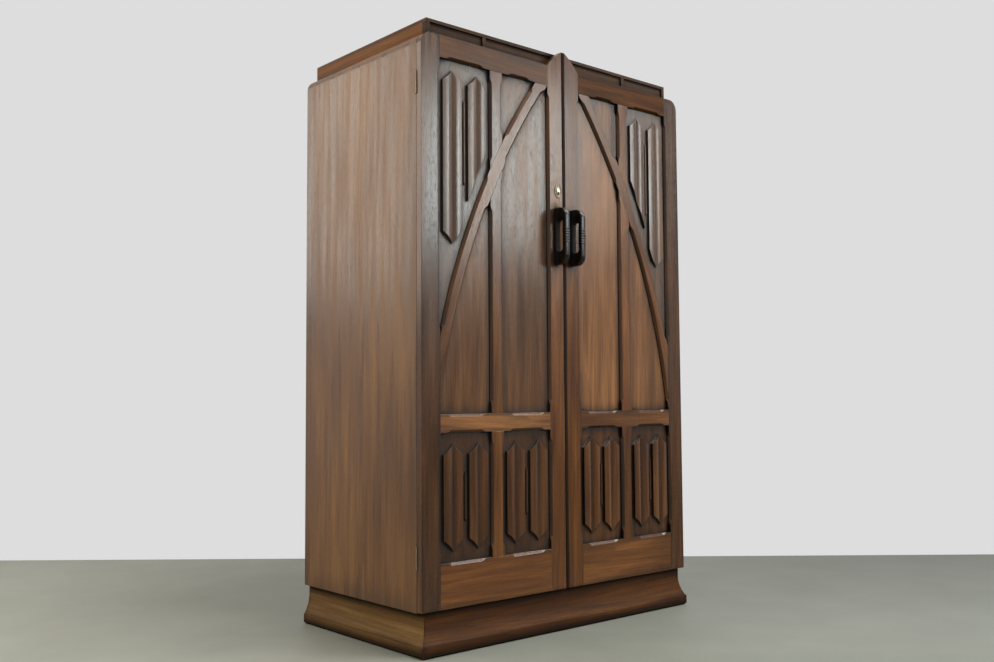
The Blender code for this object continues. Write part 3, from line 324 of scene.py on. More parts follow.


# Oak, sanded, stained and rubbed with polish: soft brown clouds along the grain under a smooth shine,
# with painted shade in the corners and, on some boards, painted light on faces that look sideways.
def stained_oak(name, box, heart, turn, tones, shade=1.0, rough=0.22, gloss=0.38, shade_and_dust=0.95,
                wear=0.4, rim=0.42, figure=0.85, mottle=0.06, dust=0.45, carved=False,
                planks=0.0, side_light=1.0):
    """Oak for one board, in its (dark, body, light, worn) tones."""
    material, tree = new_material(name)
    place = add(tree, "TexCoord").outputs["Object"]
    *stains, worn = ([part * shade for part in linear(tone)[:3]] + [1.0] for tone in tones)
    grown, factors = place, []
    if planks:
        grown, plank_tone = plank_chance(tree, place, box[0].x, planks)
        factors.append(plank_tone)
    wood = grown_patterns(tree, grown, heart, turn)
    if carved:
        factors.append(fold_tone(tree, place))
    if rim:
        factors.append(border_tone(tree, place, box, wood["clouds"], rim))
    # Painted light on faces that look sideways.
    if side_light != 1:
        factors.append(painted_side_light(tree, side_light))
    colour = stain_colour(tree, wood, stains, figure)
    for factor in factors:
        colour = add(tree, "VectorMath", {"operation": "SCALE"},
                     {0: colour, "Scale": factor}).outputs["Vector"]

    pored = add(tree, "Math", {"operation": "MULTIPLY", 1: PORE_SHARE}, {0: wood["pores"]}).outputs[0]
    # Painted shade where the air is shut in, partly thick stain; below, the same number makes the polish
    # dusty.
    shut = shut_in(tree, SHADE_AND_DUST_REACH, SHADE_AND_DUST_NONE, SHADE_AND_DUST_FULL, shade_and_dust)
    eased, edge = worn_edges(tree, EDGE_REACH, wear)
    rubbed = add(tree, "MapRange", {"From Min": RUB_FROM, "From Max": RUB_TO},
                 {"Value": wood["clouds"]}).outputs["Result"]
    edge = add(tree, "Math", {"operation": "MULTIPLY"}, {0: edge, 1: rubbed}).outputs[0]
    for coat, share in ((linear(PORE_COLOUR), pored), (linear(CORNER_SHADE_COLOUR), shut), (worn, edge)):
        colour = add(tree, "Mix", {"data_type": "RGBA", 7: coat}, {0: share, 6: colour}).outputs[2]

    dull = add(tree, "MapRange", {
        "From Min": DULL_FROM, "From Max": DULL_TO,
        "To Min": rough - mottle / 2, "To Max": rough + mottle,
    }, {"Value": wood["clouds"]}).outputs["Result"]
    pitted = add(tree, "Math", {"operation": "MULTIPLY_ADD", 1: PORE_DULL},
                 {0: wood["pores"], 2: dull}).outputs[0]
    roughness = add(tree, "Math", {"operation": "MULTIPLY_ADD", 1: dust}, {0: shut, 2: pitted}).outputs[0]
    relief = add(tree, "Math", {"operation": "SUBTRACT"},
                 {0: wood["flecks"], 1: wood["pores"]}).outputs[0]
    bump = add(tree, "Bump", {"Strength": RELIEF, "Distance": RELIEF_DEEP},
               {"Height": relief, "Normal": eased}).outputs["Normal"]
    polish = add(tree, "BsdfPrincipled", {"IOR": 1.5, "Specular IOR Level": gloss},
                 {"Base Color": colour, "Roughness": roughness, "Normal": bump})
    add(tree, "OutputMaterial", {}, {"Surface": polish.outputs["BSDF"]})
    return material


DOOR_OAK = ("#391f0c", "#5e3816", "#7d4f22", "#a5805a")
PANEL_OAK = ("#372112", "#5a3a1f", "#77502d", "#a5805a")
SIDE_OAK = ("#4b2d13", "#6c471f", "#876032", "#a5825a")
PLINTH_OAK = ("#4a3318", "#6c4f27", "#87693d", "#a5825a")
INSIDE_OAK = ("#5d4024", "#8a6540", "#a98256", "#b99a72")
print("oak tones for doors, panels, sides, plinth and inside")

# %% [markdown]
# ## Cutting the boards
# A joiner lets the grain run along every board: up the stiles and panels, across the rails,
# front to back on the short sides of plinth and frieze, and on a slant along the braces. One
# material for all would make them look sawn from one piece, so each board has the heart of its
# tree in another place. It lies some way behind the face and a little to one side, so that the
# rings show as tall arches in the wide boards and as plain lines in the narrow ones.

# %% Where each board comes from
UP, ALONG_X, ALONG_Y = (0, 0, 0), (0, math.pi / 2, 0), (-math.pi / 2, 0, 0)
GRAIN_AXIS = {UP: 2, ALONG_X: 0, ALONG_Y: 1}
TAPER = (0.013, 0.009)                     # a trunk narrows, so the rings lean a little
GOLDEN = 0.618034                          # multiples of it never fall into a pattern
HEART_BEHIND, HEART_SPREAD = 0.05, 0.08
TREE_LENGTH = 3
BRACE_OUT, BRACE_DOWN = 0.426, 1.020
BRACE_SLANT = math.atan2(BRACE_OUT, -BRACE_DOWN)


def heart_of(node, turn, number):
    """Where the heart of a board's tree lies."""
    low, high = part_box(node)
    size, middle = high - low, (low + high) / 2
    along = GRAIN_AXIS.get(turn, 2)
    thin, wide = sorted((axis for axis in range(3) if axis != along), key=lambda axis: size[axis])
    chance = number * GOLDEN % 1
    heart = middle.copy()
    heart[thin] += HEART_BEHIND + HEART_SPREAD * chance
    heart[wide] += size[wide] * (number * GOLDEN * GOLDEN % 1 - 0.5)
    heart[along] += TREE_LENGTH * chance
    return heart


def finish_node(node, material):
    """Gives a piece of the frame its finish."""
    slots = boards[node].data.materials
    slots.clear()
    slots.append(material)


def cut_board(node, number, turn, tones, **finish):
    """Finds a board its own wood and finishes it."""
    turned = (turn[0] + TAPER[0], turn[1] + TAPER[1], turn[2])
    heart = heart_of(node, turn, number)
    finish_node(node, stained_oak(f"stained_oak_{node}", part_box(node), heart, turned, tones, **finish))


print("the braces lean", round(math.degrees(math.atan2(BRACE_OUT, BRACE_DOWN))), "degrees")

# %% [markdown]
# ## The boards of the case
# No two boards drank the stain alike, so each has a shade, a number that multiplies its tones.
# The sides have the best polish, frieze and plinth were only waxed, and inside the oak is pale.
# A table keeps this in one place: the way of the grain, the tones, and what differs from the rest.

# %% Finish of the case
WAXED = {"rough": 0.52, "gloss": 0.14}
SIDE = {"gloss": 0.52, "rim": 0.34, "rough": 0.32, "figure": 0.72, "mottle": 0.14}
# Inside and on the frieze the corners get less painted shade and dust.
INSIDE = {"rough": 0.50, "gloss": 0.30, "shade_and_dust": 0.5, "rim": 0, "figure": 0.7}
FRIEZE_FRONT = {"shade": 0.42, "shade_and_dust": 0.5, "rim": 0.1, "wear": 0.1, **WAXED}
FRIEZE_SIDE = {"shade": 1.10, "shade_and_dust": 0.3, "rim": 0.1, **WAXED}
# The cap's ends look sideways and get painted light, while its front stays dark.
FRIEZE_CAP = {"shade": 0.40, "side_light": 2.6, "rim": 0.1, "wear": 0.1, **WAXED}
BACK_BOARDS = 7
plank = (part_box("back_panel")[1].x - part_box("back_panel")[0].x) / BACK_BOARDS
cuts = {
    "side_left": (UP, SIDE_OAK, SIDE),
    "side_right": (UP, SIDE_OAK, SIDE),
    "top_board": (ALONG_X, DOOR_OAK, WAXED),
    "frieze_front": (ALONG_X, PANEL_OAK, FRIEZE_FRONT),
    "frieze_left": (ALONG_Y, DOOR_OAK, FRIEZE_SIDE),
    "frieze_right": (ALONG_Y, DOOR_OAK, FRIEZE_SIDE),
    "frieze_cap": (ALONG_X, PANEL_OAK, FRIEZE_CAP),
    # The high wear pales the plinth's edges: partly wear, partly a painted highlight line along them.
    "plinth_front": (ALONG_X, DOOR_OAK, {"shade": 0.60, "wear": 0.8, **WAXED}),
    "plinth_left": (ALONG_Y, PLINTH_OAK, {"shade": 0.84, "wear": 0.8, **WAXED}),
    "plinth_right": (ALONG_Y, PLINTH_OAK, {"shade": 0.74, "wear": 0.8, **WAXED}),
    "plinth_back": (ALONG_X, INSIDE_OAK, INSIDE),
    "back_panel": (UP, INSIDE_OAK, {**INSIDE, "planks": plank}),
    "bottom_board": (ALONG_X, INSIDE_OAK, INSIDE),
    "hat_shelf": (ALONG_X, INSIDE_OAK, INSIDE),
}
print("boards of the case:", len(cuts))

# %% [markdown]
# ## The boards of the doors
# The doors are alike piece by piece, so one line serves both, with two shades: the light of many
# years has faded the right door more than the left one. What only one kind of board or one single
# board has, such as carved folds or a dusty top, is added from a second table.

# %% Finish of the doors
DUST = {"left": 0.45, "right": 0.06}      # the right door was wiped into its corners
door_cuts = {        # grain, then the shade on the left and on the right door
    "outer_stile": (UP, 0.54, 0.48), "meeting_stile": (UP, 1.14, 0.90),
    "upper_muntin": (UP, 0.90, 1.20), "lower_muntin": (UP, 0.98, 0.74),
    "top_rail": (ALONG_X, 0.82, 0.62), "middle_rail": (ALONG_X, 1.54, 0.86),
    "bottom_rail": (ALONG_X, 1.28, 1.10), "brace": (None, 0.95, 0.95),
    "upper_linenfold": (UP, 0.66, 0.74), "low_outer_linenfold": (UP, 0.52, 0.62),
    "low_inner_linenfold": (UP, 0.62, 0.82), "corner_panel": (UP, 0.85, 1.0),
    "inner_panel": (UP, 0.96, 1.82), "outer_panel": (UP, 1.08, 1.42),
}
own_finish = {
    "left_top_rail": {"rough": 0.34, "gloss": 0.20},     # no duster reaches these two
    "right_top_rail": {"rough": 0.40, "gloss": 0.06},
    # The outer stiles' sideways faces, the edges of the doors, get painted light.
    "left_outer_stile": {"gloss": 0.44, "side_light": 2.8},
    "right_outer_stile": {"side_light": 2.8},
    "right_meeting_stile": {"gloss": 0.30},
    "left_middle_rail": {"figure": 1.3, "rim": 0.6},
    "upper_linenfold": {"rough": 0.26, "gloss": 0.62, "carved": True},
    "low_outer_linenfold": {"carved": True},
    "low_inner_linenfold": {"carved": True},
    "brace": {"rim": 0},                                 # a curved board doesn't follow its box
}
brown_boards = {"left_middle_rail", "left_upper_linenfold", "right_upper_linenfold"}
for part, (grain, *shades) in door_cuts.items():
    for door, lean, shade in zip(("left", "right"), (-1, 1), shades):
        node = f"{door}_{part}"
        turn = grain or (0, lean * BRACE_SLANT, 0)
        tones = PANEL_OAK if part.endswith("panel") or node in brown_boards else DOOR_OAK
        own = {**own_finish.get(part, {}), **own_finish.get(node, {})}
        cuts[node] = (turn, tones, {"shade": shade, "dust": DUST[door], **own})
for number, (node, (turn, tones, finish)) in enumerate(cuts.items(), 1):
    cut_board(node, number, turn, tones, **finish)
print("boards cut:", len(cuts))

# %% [markdown]
# ## Ebonised handles
# The handles are a close-grained wood stained black and polished, so there is hardly any grain
# to see, only a shine that is gone where no hand comes: between the ribs and inside the grip.
# Plain black with one roughness would look like plastic. Two reaches of shut-in air, a short one
# for the grooves and a long one for the grip, put the shine where hands keep it.

# %% Ebonised wood
FIBRE = (0.0016, 0.0016, 0.03)
RUBS_A_METRE = 45.0                       # spots of about 22 mm, as a thumb leaves them
RIB_EDGE, RIB_WEAR = 0.0006, 0.35
GROOVE_REACH, GRIP_REACH = 0.004, 0.045
SHINE, WORN_SHINE = 0.20, 0.34


# Dense wood, ebonised and polished: black with a brown rub on the edges, shiny only on top.
def ebonised_wood(name):
    material, tree = new_material(name)
    place = add(tree, "TexCoord").outputs["Object"]
    fine = add(tree, "Mapping", {"vector_type": "TEXTURE", "Scale": FIBRE},
               {"Vector": place}).outputs["Vector"]
    fibres = add(tree, "TexNoise", {"Scale": 1.0, "Detail": 3.0}, {"Vector": fine}).outputs["Fac"]
    rubs = add(tree, "TexNoise", {"Scale": RUBS_A_METRE, "Detail": 3.0}, {"Vector": place}).outputs["Fac"]
    black = add(tree, "ValToRGB", {}, {"Fac": fibres})
    black.color_ramp.elements[0].color = linear("#080504")
    black.color_ramp.elements[1].color = linear("#17100c")
    eased, edge = worn_edges(tree, RIB_EDGE, RIB_WEAR)
    colour = add(tree, "Mix", {"data_type": "RGBA", 7: linear("#4a3223")},
                 {0: edge, 6: black.outputs["Color"]}).outputs[2]
    grooves = shut_in(tree, GROOVE_REACH, 0.97, 0.84, 0.55, samples=16)
    grip = shut_in(tree, GRIP_REACH, 0.90, 0.70, 0.65, samples=16)
    dull = add(tree, "Math", {"operation": "MAXIMUM"}, {0: grooves, 1: grip}).outputs[0]
    shine = add(tree, "MapRange", {
        "From Min": 0.3, "From Max": 0.7, "To Min": SHINE, "To Max": WORN_SHINE,
    }, {"Value": rubs}).outputs["Result"]
    roughness = add(tree, "Math", {"operation": "ADD"}, {0: shine, 1: dull}).outputs[0]
    bump = add(tree, "Bump", {"Strength": 0.12, "Distance": 0.0003},
               {"Height": fibres, "Normal": eased}).outputs["Normal"]
    polish = add(tree, "BsdfPrincipled", {"IOR": 1.5, "Specular IOR Level": 0.34},
                 {"Base Color": colour, "Roughness": roughness, "Normal": bump})
    add(tree, "OutputMaterial", {}, {"Surface": polish.outputs["BSDF"]})
    return material


ebonised = ebonised_wood("ebonised_wood")
print("finish for the handles:", ebonised.name)

# %% [markdown]
# ## Old metal
# The metal is brass that was lacquered once and has gone brown where nobody rubs it, and mild
# steel with a dull skin. Metal takes its colour from what it mirrors, so most of its pattern is in
# the roughness. Brass and steel age alike, in patches and in corners, so one material with two
# colours and two roughnesses serves for both.

# %% Brass and steel
PATCHES_A_METRE = 160.0                   # patches of about 6 mm
SCUFFS_A_METRE = 900.0                    # scuffs of about 1 mm
CORNER_REACH = 0.004
SCUFF_DULL, SCUFF_RELIEF, SCUFF_DEEP = 0.10, 0.15, 0.0002


def old_metal(name, bright, tarnish, smooth, tarnished):
    """Metal that is bright where it is rubbed and tarnished in patches and corners."""
    material, tree = new_material(name)
    place = add(tree, "TexCoord").outputs["Object"]
    patches = add(tree, "TexNoise", {"Scale": PATCHES_A_METRE, "Detail": 4.0, "Roughness": 0.6},
                  {"Vector": place}).outputs["Fac"]
    scuffs = add(tree, "TexNoise", {"Scale": SCUFFS_A_METRE, "Detail": 2.0},
                 {"Vector": place}).outputs["Fac"]
    shut = shut_in(tree, CORNER_REACH, 1.0, 0.4, 0.9)
    patch = add(tree, "MapRange", {"From Min": 0.42, "From Max": 0.68, "To Max": 0.75},
                {"Value": patches}).outputs["Result"]
    aged = add(tree, "Math", {"operation": "MAXIMUM"}, {0: shut, 1: patch}).outputs[0]
    colour = add(tree, "Mix", {"data_type": "RGBA", 6: linear(bright), 7: linear(tarnish)},
                 {0: aged}).outputs[2]
    dull = add(tree, "MapRange", {"To Min": smooth, "To Max": tarnished},
               {"Value": aged}).outputs["Result"]
    roughness = add(tree, "Math", {"operation": "MULTIPLY_ADD", 1: SCUFF_DULL},
                    {0: scuffs, 2: dull}).outputs[0]
    bump = add(tree, "Bump", {"Strength": SCUFF_RELIEF, "Distance": SCUFF_DEEP},
               {"Height": scuffs}).outputs["Normal"]
    metal = add(tree, "BsdfPrincipled", {"Metallic": 1.0},
                {"Base Color": colour, "Roughness": roughness, "Normal": bump})
    add(tree, "OutputMaterial", {}, {"Surface": metal.outputs["BSDF"]})
    return material


# Rubbed brass is a pale, soft mirror; old lacquer on brass is brown and dull; steel is grey and dull.
brass = old_metal("aged_brass", "#bdb199", "#564a3a", 0.26, 0.50)
browned = old_metal("browned_brass", "#948674", "#5c5042", 0.46, 0.62)
steel = old_metal("dull_steel", "#8d8983", "#4b443d", 0.34, 0.55)
fittings = {
    ebonised: ["left_handle", "right_handle"],
    brass: ["keyhole_escutcheon", "rail_socket_left", "rail_socket_right", "bolt_plate", "lock_bolt"],
    browned: [f"{door}_{leaf}_{end}" for door in ("left", "right")
              for leaf in ("case_hinge", "door_hinge_leaf") for end in ("low", "high")],
    steel: ["hanging_rail", "lock_case", "top_bolt"],
}
for material, nodes in fittings.items():
    for node in nodes:
        finish_node(node, material)
print("fittings finished:", sum(len(nodes) for nodes in fittings.values()))

# %% [markdown]
# ## The escutcheon: plate and rim
# A small oval plate of brass guards the keyhole. The drawing has it as a flat oval; the real
# one is pressed, with a rolled rim and a sunk field. A profile could be spun, but that gives round
# plates only. An oval is a circle scaled one way, and insets of its one face, each with a depth,
# give the rim and the field.

# %% Rim and field
PLATE_EDGE = 0.0007
RIM_STEPS = ((0.0009, 0.0009), (0.0009, 0), (0.0012, -0.0011))      # inwards and outwards
RIM_SOFT = 0.00025
FACING_FRONT = (math.pi / 2, 0, 0)


def start_piece(name):
    """Names the primitive that was just added, and puts its place into its mesh."""
    made = bpy.context.object
    made.name = name
    bpy.ops.object.transform_apply(location=True, rotation=True, scale=True)
    return made


def soften(width, segments, angle):
    """Rounds the active piece's edges that are sharper than an angle."""
    rounding = bpy.context.object.modifiers.new("rounding", "BEVEL")
    rounding.width, rounding.segments = width, segments
    rounding.limit_method, rounding.angle_limit = "ANGLE", math.radians(angle)
    bpy.ops.object.modifier_apply(modifier="rounding")


plate_low, plate_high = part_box("keyhole_escutcheon")
plate_size, plate_middle = plate_high - plate_low, (plate_low + plate_high) / 2
bpy.ops.object.select_all(action="DESELECT")
bpy.ops.mesh.primitive_circle_add(
    vertices=72, radius=plate_size.z / 2, fill_type="NGON",
    location=(plate_middle.x, plate_high.y, plate_middle.z), rotation=FACING_FRONT,
)
escutcheon = start_piece("escutcheon")
bpy.ops.object.mode_set(mode="EDIT")
bpy.ops.mesh.select_all(action="SELECT")
bpy.ops.transform.resize(value=(plate_size.x / plate_size.z, 1, 1), center_override=plate_middle)
bpy.ops.mesh.extrude_region_move(TRANSFORM_OT_translate={"value": (0, -PLATE_EDGE, 0)})
for step, rise in RIM_STEPS:
    bpy.ops.mesh.inset(thickness=step, depth=rise)
bpy.ops.mesh.select_all(action="SELECT")
bpy.ops.mesh.normals_make_consistent(inside=False)
bpy.ops.object.mode_set(mode="OBJECT")
soften(RIM_SOFT, 2, 20)
print("escutcheon of", tuple(round(side * 1000, 1) for side in escutcheon.dimensions), "mm")

# %% [markdown]
# ## The escutcheon: boss and keyhole
# Round the keyhole stands a boss that keys have rubbed bright: a disc, stretched upright and
# domed by an inset. The keyhole runs through plate and boss alike, so it could only be drawn into
# both by hand. A cutter does it at one go: a rod whose lower points are pulled down, which
# makes the slot for the bit of the key.

# %% Boss and cutter
BOSS_HALF, BOSS_DEEP, BOSS_TALL = 0.0072, 0.0024, 1.45       # its height is times its width
BOSS_BELOW = 0.0015                                          # under the middle of the plate
BOSS_SLOPE, BOSS_RISE, BOSS_SOFT = 0.0012, 0.0005, 0.0003
KEY_ROUND, KEY_LONG = 0.0042, 0.0064
KEY_BELOW = 0.7 * KEY_ROUND                                  # points under this are pulled down
CUTTER_DEEP = 0.02


def select_faces(made, chosen):
    """Selects the faces of a mesh whose middle and normal pass a test, in edit mode."""
    bpy.ops.mesh.select_mode(type="FACE")
    bpy.ops.mesh.select_all(action="DESELECT")
    bpy.ops.object.mode_set(mode="OBJECT")
    for face in made.data.polygons:
        face.select = chosen(face.center, face.normal)
    bpy.ops.object.mode_set(mode="EDIT")


boss_middle = Vector((plate_middle.x, plate_high.y - BOSS_DEEP / 2, plate_middle.z - BOSS_BELOW))
bpy.ops.object.select_all(action="DESELECT")
bpy.ops.mesh.primitive_cylinder_add(vertices=48, radius=BOSS_HALF, depth=BOSS_DEEP,
                                    location=boss_middle, rotation=FACING_FRONT)
boss = start_piece("boss")
bpy.ops.object.mode_set(mode="EDIT")
bpy.ops.mesh.select_all(action="SELECT")
bpy.ops.transform.resize(value=(1, 1, BOSS_TALL), center_override=boss_middle)
select_faces(boss, lambda middle, normal: normal.y < -0.9)
bpy.ops.mesh.inset(thickness=BOSS_SLOPE, depth=BOSS_RISE)
bpy.ops.object.mode_set(mode="OBJECT")
soften(BOSS_SOFT, 3, 15)

bpy.ops.object.select_all(action="DESELECT")
bpy.ops.mesh.primitive_cylinder_add(vertices=32, radius=KEY_ROUND, depth=CUTTER_DEEP,
                                    location=plate_middle, rotation=FACING_FRONT)
cutter = start_piece("keyhole_cutter")
for vertex in cutter.data.vertices:
    vertex.select = vertex.co.z < plate_middle.z - KEY_BELOW
bpy.ops.object.mode_set(mode="EDIT")
bpy.ops.mesh.select_mode(type="VERT")
bpy.ops.transform.translate(value=(0, 0, -KEY_LONG))
bpy.ops.object.mode_set(mode="OBJECT")
print("keyhole is", round(cutter.dimensions.z * 1000, 1), "mm tall")

# %% [markdown]
# ## The escutcheon: putting it together
# Plate and boss are one pressing. Joining them would leave faces hidden inside, so a Boolean
# unites them, and the boss brings its brighter brass along. A second Boolean takes the keyhole
# out. The pins are bits of metal of their own: one is modelled, copied to the other end, and
# both are joined to the plate as separate shells.

# %% Uniting, copying, joining
def select_only(*pieces):
    """Selects some pieces and nothing else, and makes the first one active."""
    bpy.ops.object.select_all(action="DESELECT")
    for piece in pieces:
        piece.select_set(True)
    bpy.context.view_layer.objects.active = pieces[0]


def combine(made, operation, other):
    """Unites a piece with another or cuts the other out of it, and clears the other away."""
    select_only(made)
    joint = made.modifiers.new(operation, "BOOLEAN")
    joint.operation, joint.object, joint.solver = operation, other, "EXACT"
    bpy.ops.object.modifier_apply(modifier=operation)
    bpy.data.objects.remove(other)


def copy_to(pattern, moves):
    """Copies of a piece at some moves from it, each with its own mesh."""
    copies = []
    for move in moves:
        select_only(pattern)
        bpy.ops.object.duplicate()
        bpy.context.object.matrix_world = move
        bpy.ops.object.transform_apply(location=True, rotation=True, scale=True)
        copies.append(bpy.context.object)
    return copies


def join(made, others):
    """Joins other pieces to a piece."""
    select_only(made, *others)
    bpy.ops.object.join()


def smooth(made, angle):
    """Shades a piece smooth but for edges sharper than an angle."""
    select_only(made)
    bpy.ops.object.shade_smooth_by_angle(angle=math.radians(angle))


print("a move down by a centimetre ends in", tuple(Matrix.Translation((0, 0, -0.01)).translation))

# %% Put the escutcheon together
PIN_HEAD, PIN_DEEP, PIN_SOFT = 0.0012, 0.0012, 0.0005
PIN_FROM_MIDDLE, PIN_OUT = 0.0165, 0.0009
for made in (escutcheon, boss):
    made.data.materials.append(browned)
    made.data.materials.append(brass)
for face in boss.data.polygons:
    face.material_index = 1
combine(escutcheon, "UNION", boss)
combine(escutcheon, "DIFFERENCE", cutter)
bpy.ops.object.select_all(action="DESELECT")
bpy.ops.mesh.primitive_cylinder_add(
    vertices=16, radius=PIN_HEAD, depth=PIN_DEEP, rotation=FACING_FRONT,
    location=(plate_middle.x, plate_high.y - PIN_OUT, plate_middle.z + PIN_FROM_MIDDLE),
)
pin = start_piece("escutcheon_pin")
soften(PIN_SOFT, 3, 40)
pin.data.materials.append(browned)
join(escutcheon, [pin, *copy_to(pin, [Matrix.Translation((0, 0, -2 * PIN_FROM_MIDDLE))])])
smooth(escutcheon, 40)
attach(escutcheon, "door_left")
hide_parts("keyhole_escutcheon")
print("finished escutcheon:", len(escutcheon.data.polygons), "faces")

# %% [markdown]
# ## The handles: block and finger gap
# Each handle is carved from one block: a D with a finger gap. A bent tube would be quicker, but
# it would be round, and this grip is flat with eased edges. So a block with two bevelled edges
# makes the D, a cutter with bevelled edges makes the gap, and a bevel by angle eases what is left.

# %% Block and finger gap
REED_OUT = 0.0008            # reeds stand this far out of the grip
FOOT, GRIP = 0.010, 0.015    # thickness behind and in front of the finger gap
GAP_HALF, GAP_ROUND = 0.049, 0.011
GAP_PAST = 0.01              # the cutter sticks out on both sides
D_ROUND, EASE = 0.030, 0.0038
NEAR_ZERO = 1e-5


def select_edges(made, chosen):
    """Selects the edges of a mesh whose two ends pass a test, in edit mode."""
    bpy.ops.mesh.select_mode(type="EDGE")
    bpy.ops.mesh.select_all(action="DESELECT")
    bpy.ops.object.mode_set(mode="OBJECT")
    for edge in made.data.edges:
        edge.select = chosen(*(made.data.vertices[v].co for v in edge.vertices))
    bpy.ops.object.mode_set(mode="EDIT")


def new_block(name, low, high):
    """A cube stretched between two corners, left in edit mode."""
    middle = (Vector(low) + Vector(high)) / 2
    bpy.ops.object.select_all(action="DESELECT")
    bpy.ops.mesh.primitive_cube_add(size=1, location=middle)
    made = start_piece(name)
    bpy.ops.object.mode_set(mode="EDIT")
    bpy.ops.mesh.select_all(action="SELECT")
    bpy.ops.transform.resize(value=Vector(high) - Vector(low), center_override=middle)
    return made


low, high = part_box("left_handle")
front, back, middle_z = low.y + REED_OUT, high.y, (low.z + high.z) / 2
handle = new_block("left_door_handle", (low.x + REED_OUT, front, low.z),
                   (high.x - REED_OUT, back, high.z))
select_edges(handle, lambda a, b: max(a.y, b.y) < front + NEAR_ZERO and abs(a.z - b.z) < NEAR_ZERO)
bpy.ops.mesh.bevel(offset=D_ROUND, segments=10, affect="EDGES")
bpy.ops.object.mode_set(mode="OBJECT")
gap = new_block("finger_gap", (low.x - GAP_PAST, front + GRIP, middle_z - GAP_HALF),
                (high.x + GAP_PAST, back - FOOT, middle_z + GAP_HALF))
select_edges(gap, lambda a, b: abs(a.x - b.x) > GAP_PAST)
bpy.ops.mesh.bevel(offset=GAP_ROUND, segments=6, affect="EDGES")
bpy.ops.object.mode_set(mode="OBJECT")
combine(handle, "DIFFERENCE", gap)
soften(EASE, 3, 40)
print("handle without reeds:", len(handle.data.polygons), "faces")

# %% [markdown]
# ## The handles: reeds
# Six reeds run round the grip. The drawing keeps them as plain bands, but rounded ones catch
# the window one by one, and a bump in the material would leave the outline smooth. One reed is a
# block that is bevelled twice: first its corners, as round as the grip, and then the edges that
# make it a reed. Its copies go up the grip, and a Boolean unites them all with the block.

# %% Reeds, and the second handle
REEDS, REED_PITCH, REED, REED_ROUND = 6, 0.0082, 0.0074, 0.0030
first = middle_z - (REEDS - 1) / 2 * REED_PITCH
reed = new_block("reed", (low.x, low.y, first - REED / 2),
                 (high.x, front + GRIP + REED_OUT, first + REED / 2))
select_edges(reed, lambda a, b: abs(a.z - b.z) > NEAR_ZERO)
bpy.ops.mesh.bevel(offset=EASE, segments=4, affect="EDGES")
select_edges(reed, lambda a, b: abs(a.z - b.z) < NEAR_ZERO)
bpy.ops.mesh.bevel(offset=REED_ROUND, segments=5, affect="EDGES")
bpy.ops.object.mode_set(mode="OBJECT")
join(reed, copy_to(reed, [Matrix.Translation((0, 0, number * REED_PITCH)) for number in range(1, REEDS)]))
combine(handle, "UNION", reed)
handle.data.materials.append(ebonised)
smooth(handle, 35)
second = copy_to(handle, [Matrix.Translation((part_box("right_handle")[0].x - low.x, 0, 0))])[0]
second.name = "right_door_handle"
for door, made in (("left", handle), ("right", second)):
    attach(made, f"door_{door}")
    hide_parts(f"{door}_handle")
print("handle with reeds:", len(handle.data.polygons), "faces")

# %% [markdown]
# ## Screws: one head
# Every hinge leaf, plate and socket is held by slotted wood screws, sunk until the head lies
# almost level. Only the heads show, so only a head is modelled, as a pattern at the origin: a
# disc with a domed top, from an inset with a depth, and a slot that a cutter takes out.

# %% One slotted head
HEAD, HEAD_DEEP = 0.0024, 0.0009
DOME_EDGE, DOME_RISE = 0.0007, 0.00006
SLOT_WIDE, SLOT_DEEP = 0.0007, 0.0005
bpy.ops.object.select_all(action="DESELECT")
bpy.ops.mesh.primitive_cylinder_add(vertices=24, radius=HEAD, depth=HEAD_DEEP,
                                    location=(0, 0, -HEAD_DEEP / 2))
head = start_piece("screw_pattern")
bpy.ops.object.mode_set(mode="EDIT")
select_faces(head, lambda middle, normal: normal.z > 0.9)
bpy.ops.mesh.inset(thickness=DOME_EDGE, depth=DOME_RISE)
bpy.ops.object.mode_set(mode="OBJECT")
slot_corner = Vector((SLOT_WIDE, 3 * HEAD, 2 * SLOT_DEEP)) / 2
slot_cutter = new_block("slot_cutter", -slot_corner, slot_corner)
bpy.ops.object.mode_set(mode="OBJECT")
combine(head, "DIFFERENCE", slot_cutter)
print("screw head:", len(head.data.polygons), "faces")

# %% [markdown]
# ## Screws: the hinges
# A copy of the head goes to each place, with its own mesh. No joiner leaves all the slots in
# line, so each copy is turned by another part of the golden number, which looks like chance and is
# the same on every run. The copies on one fitting are joined, because they move as one.

# %% Drive the hinge screws
LEAF_FRONT, LEAF_BACK = -0.26135, -0.26165       # facing sides of the two leaves of a hinge
PROUD = 0.00006
LEAF_SCREWS = [(0.5455, -0.023), (0.5495, 0), (0.5455, 0.023)]     # from the middle of the leaf


def drive(name, body, metal, places, facing, size=1.0):
    """Copies of the head at some places, facing one way, joined and riding on a body."""
    turn = Vector(facing).to_track_quat("Z", "Y").to_matrix().to_4x4() @ Matrix.Scale(size, 4)
    moves = [Matrix.Translation(place) @ turn @ Matrix.Rotation(math.pi * (number * GOLDEN % 1), 4, "Z")
             for number, place in enumerate(places, 1)]
    screws, *others = copy_to(head, moves)
    join(screws, others)
    screws.name = name
    screws.data.materials.append(metal)
    smooth(screws, 30)
    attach(screws, body)
    return len(moves)


hinge_middles = [sum(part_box(f"left_case_hinge_{end}"), Vector()).z / 2 for end in ("low", "high")]
count = 0
for door, side in (("left", -1), ("right", 1)):
    spots = [(side * x, middle + z) for middle in hinge_middles for x, z in LEAF_SCREWS]
    count += drive(f"{door}_case_hinge_screws", "carcass", browned,
                   [Vector((x, LEAF_FRONT - PROUD, z)) for x, z in spots], (0, -1, 0))
    count += drive(f"{door}_door_hinge_screws", f"door_{door}", browned,
                   [Vector((x, LEAF_BACK + PROUD, z)) for x, z in spots], (0, 1, 0))
print("hinge screws:", count)

